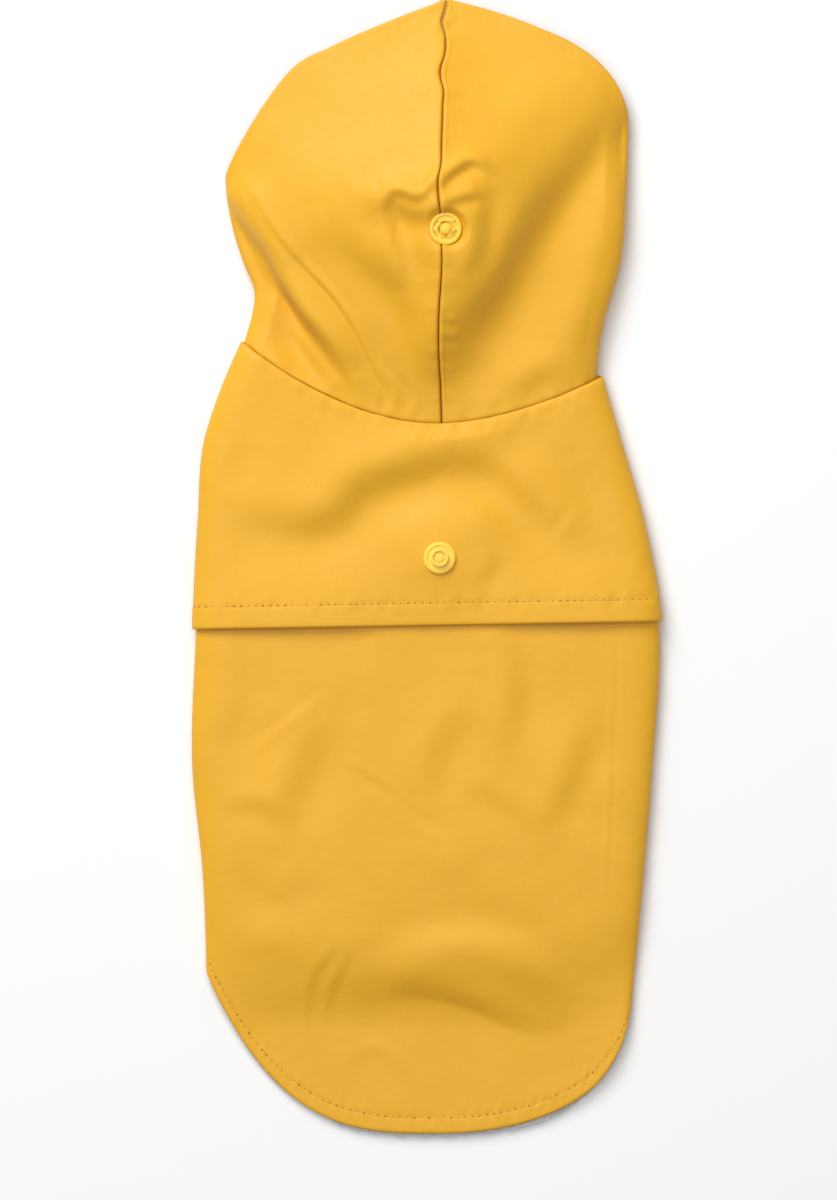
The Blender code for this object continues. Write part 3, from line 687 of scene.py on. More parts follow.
def cape_surface():
    """The cape, a layer out from the back, with its rolled neck edge, its folds and its free hem."""
    base = body_grid("neck", "cape", CAPE_SHARES, ACROSS)
    normals = outward(base.points)
    x, y, z = (base.points[:, :, k] for k in range(3))
    up = facing_up(normals)
    snap_x, snap_y = SNAP_PLACES["cape"]
    near = bell(np.hypot(x - snap_x, y - snap_y), SNAP_LIFT_REACH)
    free = ease(-y, -14.0, 24.0)
    hem_lift = read(CAPE_HEM_LIFT, "lift", x)
    lift = (SNAP_LIFT * near + free * hem_lift) * ease(z, BODY_HEIGHT / 2, BODY_HEIGHT)
    down = run_lengths(base.points, 0)
    over = run_lengths(base.points, 1)
    from_hem = down[-1:] - down
    relief = fold_relief(CAPE_FOLDS, x, y) * (1 - 0.6 * base.edge**10)
    relief += swells(x, y, 31, CAPE_SWELL, 34, 10)
    relief *= up * snap_flat(base.points, "cape") * (0.3 + 0.7 * ease(from_hem, 3.0, 16.0))
    relief *= ease(down, 0.5, 7.0)
    relief += hem_relief(from_hem, over, CAPE_STITCH_AT, HEM_BAND, 41)
    # The neck edge rolls down into its seam.
    relief += (0.12 * bell(down - 2.4, 1.6) - NECK_ROLL * bell(down, NECK_ROLL_WIDTH)) * up
    relief += 0.16 * seam_pucker(over, down, 43, 9.0, 6.0) * up
    points = base.points + normals * (LAYER + CAPE_SLACK + lift + relief)[:, :, None]
    points[:, :, 2] = np.maximum(points[:, :, 2], 0.0)
    return points


# ---------------------------------------------------------------- hood

SeamRoll = namedtuple("SeamRoll", "open inset drop")

# The turned-down edge from its foot, where the two sides meet, up to the cloth's face.
SEAM_ROLL = (
    SeamRoll(0.05, 0.03, -2.6),
    SeamRoll(0.30, 0.03, -1.9),
    SeamRoll(0.75, 0.05, -1.1),
    SeamRoll(1.00, 0.15, -0.60),
    SeamRoll(1.00, 0.38, -0.26),
    SeamRoll(1.00, 0.75, -0.07),
    SeamRoll(1.00, 1.20, 0.0),
)
SEAM_CLEAR = 2.6
SEAM_WANDER_REACH = 9.0
HOOD_ACROSS = steps_between((0.10, 12), (1.0, 70))
HOOD_SHARES = steps_between((0.05, 12), (0.96, 132), (1.0, 12))
HOOD_FOLD_STEPS, CHEEK_STEPS = 21, 31
CHEEK_GAP = 0.2

SeamSpot = namedtuple("SeamSpot", "y gap shift")
# How far the centre seam stands open along the hood, and how far it wanders sideways.
SEAM_SPOTS = (
    SeamSpot(57, 0.8, 0.6),
    SeamSpot(72, 0.8, 0.1),
    SeamSpot(87, 0.7, -0.7),
    SeamSpot(102, 0.6, -0.5),
    SeamSpot(114, 0.5, 0.3),
    SeamSpot(122, 0.4, 0.6),
    SeamSpot(134, 0.3, 0.1),
    SeamSpot(141, 0.6, -0.1),
    SeamSpot(147, 0.9, -0.8),
    SeamSpot(153, 0.5, -1.1),
    SeamSpot(160, 0.3, 0.1),
    SeamSpot(168, 0.6, 0.3),
    SeamSpot(176, 0.6, 0.5),
    SeamSpot(184, 0.5, 0.6),
    SeamSpot(190, 0.4, 0.7),
    SeamSpot(192.5, 0.3, 0.0),
    SeamSpot(195.5, 0.8, -0.7),
    SeamSpot(199, 0.8, -0.65),
    SeamSpot(202, 0.5, 0.2),
    SeamSpot(205, 0.6, 0.9),
    SeamSpot(209, 0.7, 0.95),
    SeamSpot(212, 0.4, 0.6),
    SeamSpot(214.5, 0.4, -0.2),
    SeamSpot(217.5, 1.2, -0.95),
    SeamSpot(221, 1.0, -0.2),
    SeamSpot(225, 0.9, 0.5),
    SeamSpot(228, 0.3, 0.6),
)
ROOF_RISE = 7.5
ROOF_REACH = {"left": 60.0, "right": 27.0}
ROOF_PEAK_LOSS = 0.6
HOOD_EDGE_POWER = 1.3
HOOD_FOOT_RISE = 1.4
THROAT_POWER = 0.85


def hood_height(y, side):
    puff = np.sin(math.pi * ease(y, NECK_LOW + 20, BRIM_SIDE[side] + 25))
    return BODY_HEIGHT + LAYER + HOOD_PUFF * puff


def hood_top(x, y, side, edge):
    """Height of the hood's upper side: a soft crown that falls to the peak and to the neck seam."""
    rise_low = ease(y, NECK_LOW - 8, CROWN_Y)
    rise_high = 1 - ease(y, CROWN_Y, HOOD_APEX_Y + 4)
    low = blend(BODY_HEIGHT + LAYER + HOOD_FOOT_RISE, CROWN_HEIGHT, rise_low)
    high = blend(APEX_HEIGHT, CROWN_HEIGHT, rise_high)
    middle = np.where(y < CROWN_Y, low, high)
    roof = ROOF_RISE * np.exp(-np.abs(x - HOOD_SEAM_X) / ROOF_REACH[side]) * ease(y, NECK_LOW, NECK_LOW + 50)
    roof = roof * (1 - edge**4) * (1 - ROOF_PEAK_LOSS * ease(y, 190, 228))
    return blend(middle, hood_height(y, side), edge**HOOD_EDGE_POWER) + roof


def hood_section(side, y_side, seam_y):
    """A hood half's section at one row. Its z and part are nan over the top."""
    inward = 1 if side == "left" else -1
    x_side = float(hood_side(y_side, side))
    height = float(hood_height(y_side, side))
    turn = np.linspace(math.pi, 0, HOOD_FOLD_STEPS)
    reach = FOLD_DEPTH * height * (1 - np.sin(turn))
    seam_x = float(hood_seam_x(seam_y))
    top_x = blend(seam_x, x_side + inward * reach[0], HOOD_ACROSS)
    fold_x = x_side + inward * reach
    cheek_x = np.linspace(fold_x[-1], THROAT_X - inward * CHEEK_GAP, CHEEK_STEPS)[1:]
    x = np.r_[top_x[:-1], fold_x, cheek_x]
    z = np.r_[np.full(len(top_x), np.nan), (height * (1 - np.cos(turn)) / 2)[1:], np.zeros(len(cheek_x))]
    fold_part = np.where(turn <= math.pi / 2, reach / WRAP, np.nan)
    part = np.r_[np.full(len(top_x) - 1, np.nan), fold_part, np.abs(cheek_x - x_side) / WRAP]
    edge = np.r_[HOOD_ACROSS[:-1], np.ones(len(turn) + len(cheek_x))]
    return Section(x, z, part, edge)


def brim_y(side, x, part):
    side_x = float(hood_side(BRIM_SIDE[side], side))
    share = np.clip(np.abs(x - HOOD_APEX_X) / abs(side_x - HOOD_APEX_X), 0, 1)
    over = read(BRIM_TOP, side, share)
    below = np.clip(np.abs(x - side_x) / abs(THROAT_X - side_x), 0, 1)
    under = blend(BRIM_SIDE[side], float(under_neck_y(THROAT_X)) + THROAT_STAND, below**THROAT_POWER)
    return np.where(np.isnan(part), over, under)


def hood_neck_y(side, x, part):
    start = line_sides("neck")[side]
    known = np.nan_to_num(part)
    under = np.where(known <= 1.0, blend(start, UNDER_NECK[side], known), under_neck_y(x))
    return np.where(np.isnan(part), neck_y(x), under) + SEAM_SHIFT


def hood_surface(side):
    """A hood half from the neck seam to the brim, with its edge rolled into the centre seam."""
    inward = 1 if side == "left" else -1
    neck_side = line_sides("neck")[side] + SEAM_SHIFT
    neck = hood_section(side, neck_side, NECK_LOW)
    brim = hood_section(side, BRIM_SIDE[side], HOOD_APEX_Y)
    y_neck = hood_neck_y(side, neck.x, neck.part)
    y_brim = brim_y(side, brim.x, brim.part)
    points, edges = [], []
    for share in HOOD_SHARES:
        y_side = blend(neck_side, BRIM_SIDE[side], share)
        row = hood_section(side, y_side, blend(NECK_LOW, HOOD_APEX_Y, share))
        y = blend(y_neck, y_brim, share)
        z = np.where(np.isnan(row.z), hood_top(row.x, y, side, row.edge), row.z)
        points.append(np.c_[row.x, y, z])
        edges.append(row.edge)
    points, edge = np.array(points), np.array(edges)
    points = rounded_shoulders(points, [len(HOOD_ACROSS) - 4], 70)
    normals = outward(points)
    if side == "right":
        normals = -normals
    x, y = points[:, :, 0], points[:, :, 1]
    up = facing_up(normals)
    down, over = run_lengths(points, 0), run_lengths(points, 1)
    from_brim = down[-1:] - down
    relief = fold_relief(HOOD_FOLDS, x, y) * (1 - 0.5 * edge**12)
    relief += swells(x, y, 51, HOOD_SWELL, 34, 10)
    relief *= up * snap_flat(points, "hood", 5.5, 8.5) * (0.35 + 0.65 * ease(from_brim, 2, 12))
    relief += BRIM_SOFTNESS * hem_relief(from_brim, over, BRIM_TURN, BRIM_BAND, 53)
    relief += 0.14 * seam_pucker(over, down, 54, 8.0, 6.0) * up
    relief += 0.14 * seam_pucker(down, over, 55, 9.0, 5.0)
    # The neck edge rolls down into its seam.
    relief -= NECK_ROLL * bell(down, NECK_ROLL_WIDTH) * up
    points = points + normals * relief[:, :, None]
    points[:, :, 2] = np.maximum(points[:, :, 2], 0.0)
    # The centre edge turns down into the seam, which stands open a little along the crown.
    seam_y = points[:, 0, 1]
    gap = read(SEAM_SPOTS, "gap", seam_y)
    wander = read(SEAM_SPOTS, "shift", seam_y)
    points[:, :, 0] += wander[:, None] * bell(over, SEAM_WANDER_REACH)
    turned = []
    for roll in SEAM_ROLL:
        edge_line = points[:, 0].copy()
        edge_line[:, 0] = hood_seam_x(seam_y) + wander - inward * (gap / 2 * roll.open + roll.inset)
        edge_line[:, 2] += roll.drop
        turned.append(edge_line)
    keep = np.abs(points[:, :, 0].mean(axis=0) - HOOD_SEAM_X) > SEAM_CLEAR
    keep[len(HOOD_ACROSS):] = True
    rows = np.concatenate([np.stack(turned, axis=1), points[:, keep]], axis=1)
    return rows if side == "left" else rows[:, ::-1]


# ---------------------------------------------------------------- belly and lining


BELLY_ACROSS = steps_between((0.04, 4), (0.94, 44), (1.0, 6))
BELLY_SHARES = steps_between((0.03, 4), (0.96, 110), (1.0, 8))
BELLY_ARCH_WIDTH = 150.0
HOLE_TURN, FREE_TURN = 4.0, 4.6
SINGLE_LIFT, TURN_RIDGE, BELLY_SWELL = 0.30, 0.14, 0.05


def belly_surface(side):
    """A belly panel from its underside seam to its free edge. The right one lies over the left one."""
    inward = 1 if side == "left" else -1
    free_x = BELLY_LAP_LEFT if side == "left" else BELLY_LAP_RIGHT
    rows = []
    for share in BELLY_SHARES:
        seam_y = blend(UNDER_NECK[side], UNDER_HEM, share)
        seam_x = float(body_side(seam_y, side)) + inward * (WRAP + BELLY_GAP)
        x = blend(seam_x, free_x, BELLY_ACROSS)
        hem_y = UNDER_HEM + BELLY_HEM_ARCH * np.cos(math.pi * x / BELLY_ARCH_WIDTH) ** 2
        y = blend(under_neck_y(x), hem_y, share)
        lap = ease(-x, -LAP_FOOT, -LAP_BROW) if side == "right" else np.zeros_like(x)
        rows.append(np.c_[x, y, LAYER * lap])
    points = np.array(rows)
    x, y = points[:, :, 0], points[:, :, 1]
    hole_x, hole_y = LEG_HOLES[0 if side == "left" else 1]
    reach = np.hypot((x - hole_x) / LEG_HOLE_HALF[0], (y - hole_y) / LEG_HOLE_HALF[1])
    from_hole = (reach - 1) * sum(LEG_HOLE_HALF) / 2
    down, over = run_lengths(points, 0), run_lengths(points, 1)
    from_free = np.minimum(over[:, -1:] - over, down[-1:] - down)
    # The turned edges lie on the table, and the single cloth between them stands a little off it.
    from_edge = np.minimum(from_hole, from_free)
    lift = SINGLE_LIFT * ease(from_edge, FREE_TURN, 6.0)
    lift += TURN_RIDGE * bell(from_hole - HOLE_TURN, 0.7) + TURN_RIDGE * bell(from_free - FREE_TURN, 0.7)
    lift += np.abs(fold_relief(BELLY_FOLDS, x, y)) * ease(from_edge, 4, 14)
    points[:, :, 2] += lift + BELLY_SWELL * np.abs(ripples(x, y, 61, 14))
    return points if side == "right" else points[:, ::-1]


# How far the lining reaches past the tail's hem, from left to right.
LiningReach = namedtuple("LiningReach", "x reach")
LINING_EDGE = (
    LiningReach(-60, -1.0),
    LiningReach(-46, -0.5),
    LiningReach(-34, 0.8),
    LiningReach(-20, 1.1),
    LiningReach(0, 1.2),
    LiningReach(20, 1.3),
    LiningReach(40, 1.8),
    LiningReach(54, 2.0),
    LiningReach(62, 1.6),
    LiningReach(70, 0.5),
    LiningReach(76, -0.5),
)
LINING_ACROSS = steps_between((0.03, 3), (0.97, 92), (1.0, 3))
LINING_SHARES = steps_between((0.95, 78), (1.0, 8))
LINING_SIDE = 0.985
LINING_RAGGED = 0.35
LINING_STEPS_OUT = 5
LINING_PULL_ROWS = 12
LINING_EDGE_HEIGHT, LINING_LOWEST, LINING_DIP = 1.6, 1.25, 0.35


def lining_surface():
    """The terry under the tail: the back's own points moved in, and out past the hem where it shows."""
    shown = body_grid("cape", "tail", LINING_SHARES, LINING_ACROSS)
    normals = outward(shown.points)
    over_top = np.isnan(shown.part[0]) & (shown.edge[0] < LINING_SIDE)
    down = run_lengths(shown.points, 0)
    x, y = shown.points[:, :, 0], shown.points[:, :, 1]
    relief = body_relief(x, y, facing_up(normals), shown.edge, down[-1:] - down)
    inward = (np.minimum(relief, 0.0) - LAYER)[:, over_top, None]
    rows = shown.points[:, over_top] + normals[:, over_top] * inward
    rows = rows[rows[:, rows.shape[1] // 2, 1] < LINING_TOP]
    reach = read(LINING_EDGE, "reach", rows[-1, :, 0])
    reach = reach + LINING_RAGGED * ripples(rows[-1, :, 0], np.zeros(rows.shape[1]), 71, 7.0, 8)
    rows[-1, :, 2] = LINING_EDGE_HEIGHT
    share = np.linspace(0, 1, LINING_STEPS_OUT + 1)[1:]
    beyond = np.repeat(rows[-1:], LINING_STEPS_OUT, axis=0)
    heading = np.gradient(rows[-1, :, :2], axis=0)
    heading /= np.linalg.norm(heading, axis=1, keepdims=True)
    beyond[:, :, 0] += share[:, None] * (reach * heading[:, 1])[None, :]
    beyond[:, :, 1] -= share[:, None] * (reach * heading[:, 0])[None, :]
    beyond[:, :, 2] -= LINING_DIP * share[:, None]
    # Where the edge stays inside the hem, the last rows draw back with it.
    start = rows[:-1]
    pulled = ease(np.arange(len(start)), len(start) - LINING_PULL_ROWS, len(start))
    start[:, :, 1] -= np.minimum(0.0, reach)[None, :] * pulled[:, None]
    rows = np.concatenate([start, beyond])
    rows[:, :, 2] = np.maximum(rows[:, :, 2], LINING_LOWEST)
    return rows


def tube_faces(rings, sides):
    """Faces between rings of points, each joined to the next."""
    faces = []
    for k in range(rings - 1):
        for j in range(sides):
            a, b = sides * k + j, sides * k + (j + 1) % sides
            faces.append((a, a + sides, b + sides, b))
    return np.array(faces)


LOOP_HALF, LOOP_HEIGHT, LOOP_THREAD = 0.42, 0.75, 0.17
LOOP_RINGS, LOOP_SIDES = 6, 3


def loop_strip():
    """One terry loop, about 1 mm tall, as a three-sided tube over an arch: points and faces."""
    points = []
    for turn in np.linspace(math.pi, 0, LOOP_RINGS):
        centre = np.array([LOOP_HALF * math.cos(turn), 0.0, LOOP_HEIGHT * math.sin(turn)])
        out = np.array([math.cos(turn), 0.0, math.sin(turn)])
        side = np.array([0.0, 1.0, 0.0])
        for a in np.linspace(0, 2 * math.pi, LOOP_SIDES, endpoint=False):
            points.append(centre + LOOP_THREAD * (math.cos(a) * out + math.sin(a) * side))
    return np.array(points), tube_faces(LOOP_RINGS, LOOP_SIDES)


Station = namedtuple("Station", "at fat")
STITCH_STATIONS = (
    Station(-0.50, 0.02),
    Station(-0.46, 0.62),
    Station(-0.32, 0.95),
    Station(0.0, 1.0),
    Station(0.32, 0.95),
    Station(0.46, 0.62),
    Station(0.50, 0.02),
)
STITCH_SIDES = 6
STITCH_DROP = 1.1


def stitch_capsule(length, radius):
    """One stitch lying along X, sunk at its ends: points and faces."""
    points = []
    for station in STITCH_STATIONS:
        drop = -STITCH_DROP * radius * (2 * station.at) ** 4
        for a in np.linspace(0, 2 * math.pi, STITCH_SIDES, endpoint=False):
            y, z = radius * station.fat * math.cos(a), drop + radius * station.fat * math.sin(a)
            points.append((station.at * length, y, z))
    return np.array(points), tube_faces(len(STITCH_STATIONS), STITCH_SIDES)


def copies(shape, places, along, up, scale):
    """Arrays of one shape laid at many places, its X along one direction and its Z along another."""
    points, faces = shape
    along = along / np.linalg.norm(along, axis=1, keepdims=True)
    side = np.cross(up, along)
    side /= np.linalg.norm(side, axis=1, keepdims=True)
    up = np.cross(along, side)
    laid = points[None] * scale[:, None, None]
    laid = laid[:, :, :1] * along[:, None] + laid[:, :, 1:2] * side[:, None] + laid[:, :, 2:] * up[:, None]
    laid = laid + places[:, None]
    shift = (np.arange(len(places)) * len(points))[:, None, None]
    return laid.reshape(-1, 3), (faces[None] + shift).reshape(-1, faces.shape[1])


def line_in(points, distance):
    """The line that runs at a distance from a grid's last row: its points and normals."""
    rows, normals = points[::-1], outward(points)[::-1]
    run = run_lengths(rows, 0)
    k = np.clip((run < distance).sum(axis=0) - 1, 0, len(rows) - 2)
    c = np.arange(rows.shape[1])
    share = ((distance - run[k, c]) / np.maximum(run[k + 1, c] - run[k, c], 1e-6))[:, None]
    place = blend(rows[k, c], rows[k + 1, c], share)
    up = blend(normals[k, c], normals[k + 1, c], share)
    return place, up / np.linalg.norm(up, axis=1, keepdims=True)


def sampled(values, run, spots):
    """A line's points or normals at given distances along it."""
    return np.stack([np.interp(spots, run, values[:, k]) for k in range(3)], axis=1)


def stitches_on(place, up, pitch, length, radius, seed):
    """Arrays of stitches along a line, each a little uneven, and of the needle holes between them, dark with
    painted shade.
    """
    draw = np.random.default_rng(seed)
    run = np.r_[0, np.cumsum(np.linalg.norm(np.diff(place, axis=0), axis=1))]
    at = np.arange(pitch, run[-1] - pitch, pitch)
    at = at + draw.uniform(-0.07, 0.07, len(at)) * pitch
    holes = (at[1:] + at[:-1]) / 2
    sizes = draw.uniform(0.94, 1.06, len(at)), draw.uniform(0.62, 1.12, len(holes))

    def laid(where, span, thick, lift, size):
        along = sampled(place, run, where + span / 2) - sampled(place, run, where - span / 2)
        normal = sampled(up, run, where)
        normal /= np.linalg.norm(normal, axis=1, keepdims=True)
        spots = sampled(place, run, where) + normal * lift
        return copies(stitch_capsule(span, thick), spots, along, normal, size)

    thread = laid(at, length, radius, THREAD_LIFT, sizes[0])
    pits = laid(holes, HOLE_LENGTH, HOLE_RADIUS, HOLE_LIFT, sizes[1])
    return thread, pits


def joined(groups):
    """Several (points, faces) arrays as one."""
    points, faces, start = [], [], 0
    for some_points, some_faces in groups:
        points.append(some_points)
        faces.append(some_faces + start)
        start += len(some_points)
    return np.concatenate(points), np.concatenate(faces)


# ---------------------------------------------------------------- materials


class Look:
    """A procedural material in the making, in object coordinates."""

    def __init__(self, name):
        self.material = bpy.data.materials.new(name)
        self.material.use_nodes = True
        tree = self.material.node_tree
        self.nodes, self.links = tree.nodes, tree.links
        self.shader = tree.nodes["Principled BSDF"]
        self.place = self.nodes.new("ShaderNodeTexCoord").outputs["Object"]

    def add(self, kind, values):
        node = self.nodes.new(kind)
        for name, value in values.items():
            node.inputs[name].default_value = value
        return node

    def noise(self, scale, detail, roughness=0.5):
        node = self.add("ShaderNodeTexNoise", {"Scale": scale, "Detail": detail, "Roughness": roughness})
        self.links.new(self.place, node.inputs["Vector"])
        return node.outputs["Fac"]

    def ranged(self, source, low, high):
        """The middle of a noise's range, spread from low to high."""
        values = {"From Min": 0.3, "From Max": 0.7, "To Min": low, "To Max": high}
        node = self.add("ShaderNodeMapRange", values)
        self.links.new(source, node.inputs["Value"])
        return node.outputs["Result"]

    def bumped(self, height, distance, strength, under=None):
        node = self.add("ShaderNodeBump", {"Distance": distance, "Strength": strength})
        self.links.new(height, node.inputs["Height"])
        if under is not None:
            self.links.new(under, node.inputs["Normal"])
        return node.outputs["Normal"]

    def mixed(self, share, first, second):
        """A colour or a socket mixed with a second colour."""
        node = self.nodes.new("ShaderNodeMix")
        node.data_type = "RGBA"
        self.links.new(share, node.inputs[0])
        for socket, value in ((node.inputs[6], first), (node.inputs[7], second)):
            if isinstance(value, bpy.types.NodeSocket):
                self.links.new(value, socket)
            else:
                socket.default_value = (*value, 1.0)
        return node.outputs[2]

    def drive(self, name, source):
        self.links.new(source, self.shader.inputs[name])

    def finished(self, values):
        for name, value in values.items():
            self.shader.inputs[name].default_value = value
        return self.material


def scaled(colour, share):
    return tuple(c * share for c in colour)


def coated_cloth(colours):
    """Matt-satin coated cloth: soft colour drift, a fine leathery grain and a trace of the knit below."""
    look = Look("coated_cloth_detailed")
    drift = look.ranged(look.noise(38.0, 4.0), 0.0, 1.0)
    colour = look.mixed(drift, scaled(colours.cloth, 0.965), colours.cloth)
    fleck = look.ranged(look.noise(900.0, 2.0), 0.0, 0.30)
    look.drive("Base Color", look.mixed(fleck, colour, scaled(colours.cloth, 0.93)))
    dimples = look.noise(420.0, 3.0, 0.6)
    normal = look.bumped(look.noise(95.0, 3.0, 0.55), 0.0005, 0.5)
    normal = look.bumped(dimples, 0.00011, 0.5, normal)
    look.drive("Normal", look.bumped(look.noise(2600.0, 2.0), 0.00005, 0.5, normal))
    look.drive("Roughness", look.ranged(dimples, 0.44, 0.54))
    return look.finished({"Specular IOR Level": 0.28, "Sheen Weight": 0.06, "Sheen Roughness": 0.5})


def sewing_thread(colours):
    """Spun yellow thread."""
    look = Look("sewing_thread_detailed")
    strand = look.noise(1900.0, 2.0)
    look.drive("Base Color", look.mixed(strand, scaled(colours.thread, 0.86), colours.thread))
    look.drive("Normal", look.bumped(strand, 0.00012, 0.8))
    return look.finished({"Roughness": 0.6, "Sheen Weight": 0.15})


def needle_hole(colours):
    """Painted shade: the cloth's colour darkened inside a needle hole, where shade falls."""
    look = Look("needle_hole_detailed")
    cloud = look.noise(900.0, 2.0)
    # Painted shade: the cloth's yellow at 42 to 68 per cent, mottled by noise.
    look.drive("Base Color", look.mixed(cloud, scaled(colours.cloth, 0.42), scaled(colours.cloth, 0.68)))
    return look.finished({"Roughness": 0.9, "Specular IOR Level": 0.05})


def terry_lining(colours):
    """Undyed looped cotton."""
    look = Look("terry_lining_detailed")
    tuft = look.noise(700.0, 4.0, 0.65)
    look.drive("Base Color", look.mixed(tuft, scaled(colours.lining, 0.72), colours.lining))
    normal = look.bumped(tuft, 0.0009, 0.9)
    look.drive("Normal", look.bumped(look.noise(3200.0, 3.0), 0.00014, 0.8, normal))
    return look.finished({"Roughness": 0.95, "Sheen Weight": 0.3, "Specular IOR Level": 0.15})


def snap_resin(colours):
    """Moulded resin, satin, with a trace of the tool's finish."""
    look = Look("snap_resin_detailed")
    cloud = look.noise(260.0, 2.0)
    look.drive("Base Color", look.mixed(cloud, scaled(colours.snap, 0.95), colours.snap))
    look.drive("Normal", look.bumped(look.noise(2400.0, 2.0), 0.00003, 0.5))
    look.drive("Roughness", look.ranged(cloud, 0.26, 0.36))
    return look.finished({"Specular IOR Level": 0.5, "Coat Weight": 0.12, "Coat Roughness": 0.2})


def floor_card(colours):
    """Smooth pale card under the coat."""
    look = Look("floor_card")
    cloud = look.noise(6.0, 2.0)
    look.drive("Base Color", look.mixed(cloud, scaled(colours.floor, 0.995), colours.floor))
    return look.finished({"Roughness": 0.9, "Specular IOR Level": 0.1})


def material_once(maker, colours):
    """The material that a maker has already made, or else a new one."""
    return bpy.data.materials.get(f"{maker.__name__}_detailed") or maker(colours)


# ---------------------------------------------------------------- settings


class RaincoatCloth(PropertyGroup):
    """Thicknesses of the cloth and its hems."""

    wall: FloatProperty(
        name="Wall", description="Thickness of the coated cloth", default=0.0007, unit="LENGTH"
    )
    hem_wall: FloatProperty(
        name="Hem", description="Thickness where the cloth is turned under", default=0.0013, unit="LENGTH"
    )
    stitch_pitch: FloatProperty(
        name="Stitch pitch", description="Distance from one stitch to the next", default=0.0029, unit="LENGTH"
    )
    stitch_length: FloatProperty(
        name="Stitch length", description="Length of one stitch", default=0.0021, unit="LENGTH"
    )
    thread_radius: FloatProperty(
        name="Thread radius", description="Radius of the sewing thread", default=0.0002, unit="LENGTH"
    )
    loops: IntProperty(
        name="Terry loops", description="Number of loops on the lining's shown faces", default=3600
    )


class RaincoatColours(PropertyGroup):
    """Colours of the coat's materials and of the floor."""

    cloth: FloatVectorProperty(
        name="Cloth", description="Golden yellow coated cloth", default=(0.79, 0.405, 0.021), subtype="COLOR"
    )
    thread: FloatVectorProperty(
        name="Thread", description="Yellow sewing thread", default=(0.84, 0.47, 0.06), subtype="COLOR"
    )
    lining: FloatVectorProperty(
        name="Lining", description="Undyed terry", default=(0.95, 0.93, 0.90), subtype="COLOR"
    )
    snap: FloatVectorProperty(
        name="Snaps", description="Lemon yellow resin", default=(0.97, 0.62, 0.035), subtype="COLOR"
    )
    floor: FloatVectorProperty(
        name="Floor", description="Pale card", default=(0.905, 0.905, 0.905), subtype="COLOR"
    )


class RaincoatStage(PropertyGroup):
    """The camera and the light."""

    camera_height: FloatProperty(
        name="Camera height", description="Height of the camera over the table", default=4.5, unit="LENGTH"
    )
    lens: FloatProperty(name="Lens", description="Focal length", default=337.5, unit="CAMERA")
    key_watts: FloatProperty(
        name="Window", description="Power of the soft window light", default=43.0, unit="POWER"
    )
    fill_watts: FloatProperty(
        name="Ceiling", description="Power of the soft light above", default=20.5, unit="POWER"
    )
    sky: FloatProperty(name="Sky", description="Strength of the even light from all round", default=0.27)


# ---------------------------------------------------------------- snaps


def select_faces(mesh, test):
    """In edit mode, selects only the faces that pass a test on their centre and normal."""
    bpy.ops.mesh.select_all(action="DESELECT")
    shape = bmesh.from_edit_mesh(mesh)
    shape.faces.ensure_lookup_table()
    for face in shape.faces:
        face.select_set(bool(test(face.calc_center_median(), face.normal)))
    bmesh.update_edit_mesh(mesh)


def raise_faces(height):
    bpy.ops.mesh.extrude_region_move(TRANSFORM_OT_translate={"value": (0, 0, height * MM)})


def inset_faces(width):
    bpy.ops.mesh.inset(thickness=width * MM, use_even_offset=True)


def snap_blank(name, radius, base, top):
    """A flat disc, in edit mode with its top face selected."""
    bpy.ops.object.select_all(action="DESELECT")
    bpy.ops.mesh.primitive_cylinder_add(
        vertices=64, radius=radius * MM, depth=(top - base) * MM, location=(0, 0, (top + base) / 2 * MM)
    )
    item = bpy.context.object
    item.name = item.data.name = name
    bpy.ops.object.transform_apply(location=True, rotation=True, scale=True)
    bpy.ops.object.mode_set(mode="EDIT")
    bpy.context.tool_settings.mesh_select_mode = (False, False, True)
    select_faces(item.data, lambda centre, normal: normal.z > 0.9)
    return item


def finish_snap(item, place):
    """Bevels a snap's edges, turns it onto the cloth, and leaves its object at the origin."""
    bpy.ops.object.mode_set(mode="OBJECT")
    edge = item.modifiers.new("edges", "BEVEL")
    edge.width = 0.14 * MM
    edge.segments = 2
    edge.limit_method = "ANGLE"
    edge.angle_limit = math.radians(28)
    bpy.ops.object.modifier_apply(modifier=edge.name)
    bpy.ops.object.shade_smooth_by_angle(angle=math.radians(35))
    item.data.transform(place)
    item.matrix_world = Matrix.Identity(4)


RING_NEAR = 0.12
HEXAGON_SIZE = 1.06


def hexagon_at(item, radius):
    """Moves a ring of vertices onto a hexagon."""
    shape = bmesh.from_edit_mesh(item.data)
    for vertex in shape.verts:
        if abs(math.hypot(vertex.co.x, vertex.co.y) - radius * MM) < RING_NEAR * MM:
            turn = math.atan2(vertex.co.y, vertex.co.x) % math.radians(60) - math.radians(30)
            share = math.cos(math.radians(30)) / math.cos(turn) * HEXAGON_SIZE
            vertex.co.x *= share
            vertex.co.y *= share
    bmesh.update_edit_mesh(item.data)


# Each step of a snap's face: how far it is drawn in, and then how far it is pushed up.
FaceStep = namedtuple("FaceStep", "inset rise")
SOCKET_STEPS = (
    FaceStep(0.30, 0.4),
    FaceStep(0.55, 0.0),
    FaceStep(0.20, -0.4),
    FaceStep(0.45, 0.0),
    FaceStep(0.75, 0.0),
    FaceStep(0.30, 0.4),
    FaceStep(0.40, 0.0),
    FaceStep(0.15, -1.3),
    FaceStep(1.15, 1.2),
    FaceStep(0.45, 0.2),
)
STUD_STEPS = (
    FaceStep(0.35, 0.45),
    FaceStep(0.70, 0.1),
    FaceStep(0.35, -0.55),
    FaceStep(1.35, 1.9),
    FaceStep(0.25, 0.25),
    FaceStep(0.75, -1.3),
    FaceStep(0.75, 0.5),
    FaceStep(0.45, 0.25),
)
SNAP_RADIUS, SNAP_BASE = 6.4, 0.3
SLOT_TURNS = (27, 153, 207, 333)
SLOT_HALF, SLOT_INNER, SLOT_OUTER, SLOT_DEPTH = 17, 4.2, 4.9, 0.8
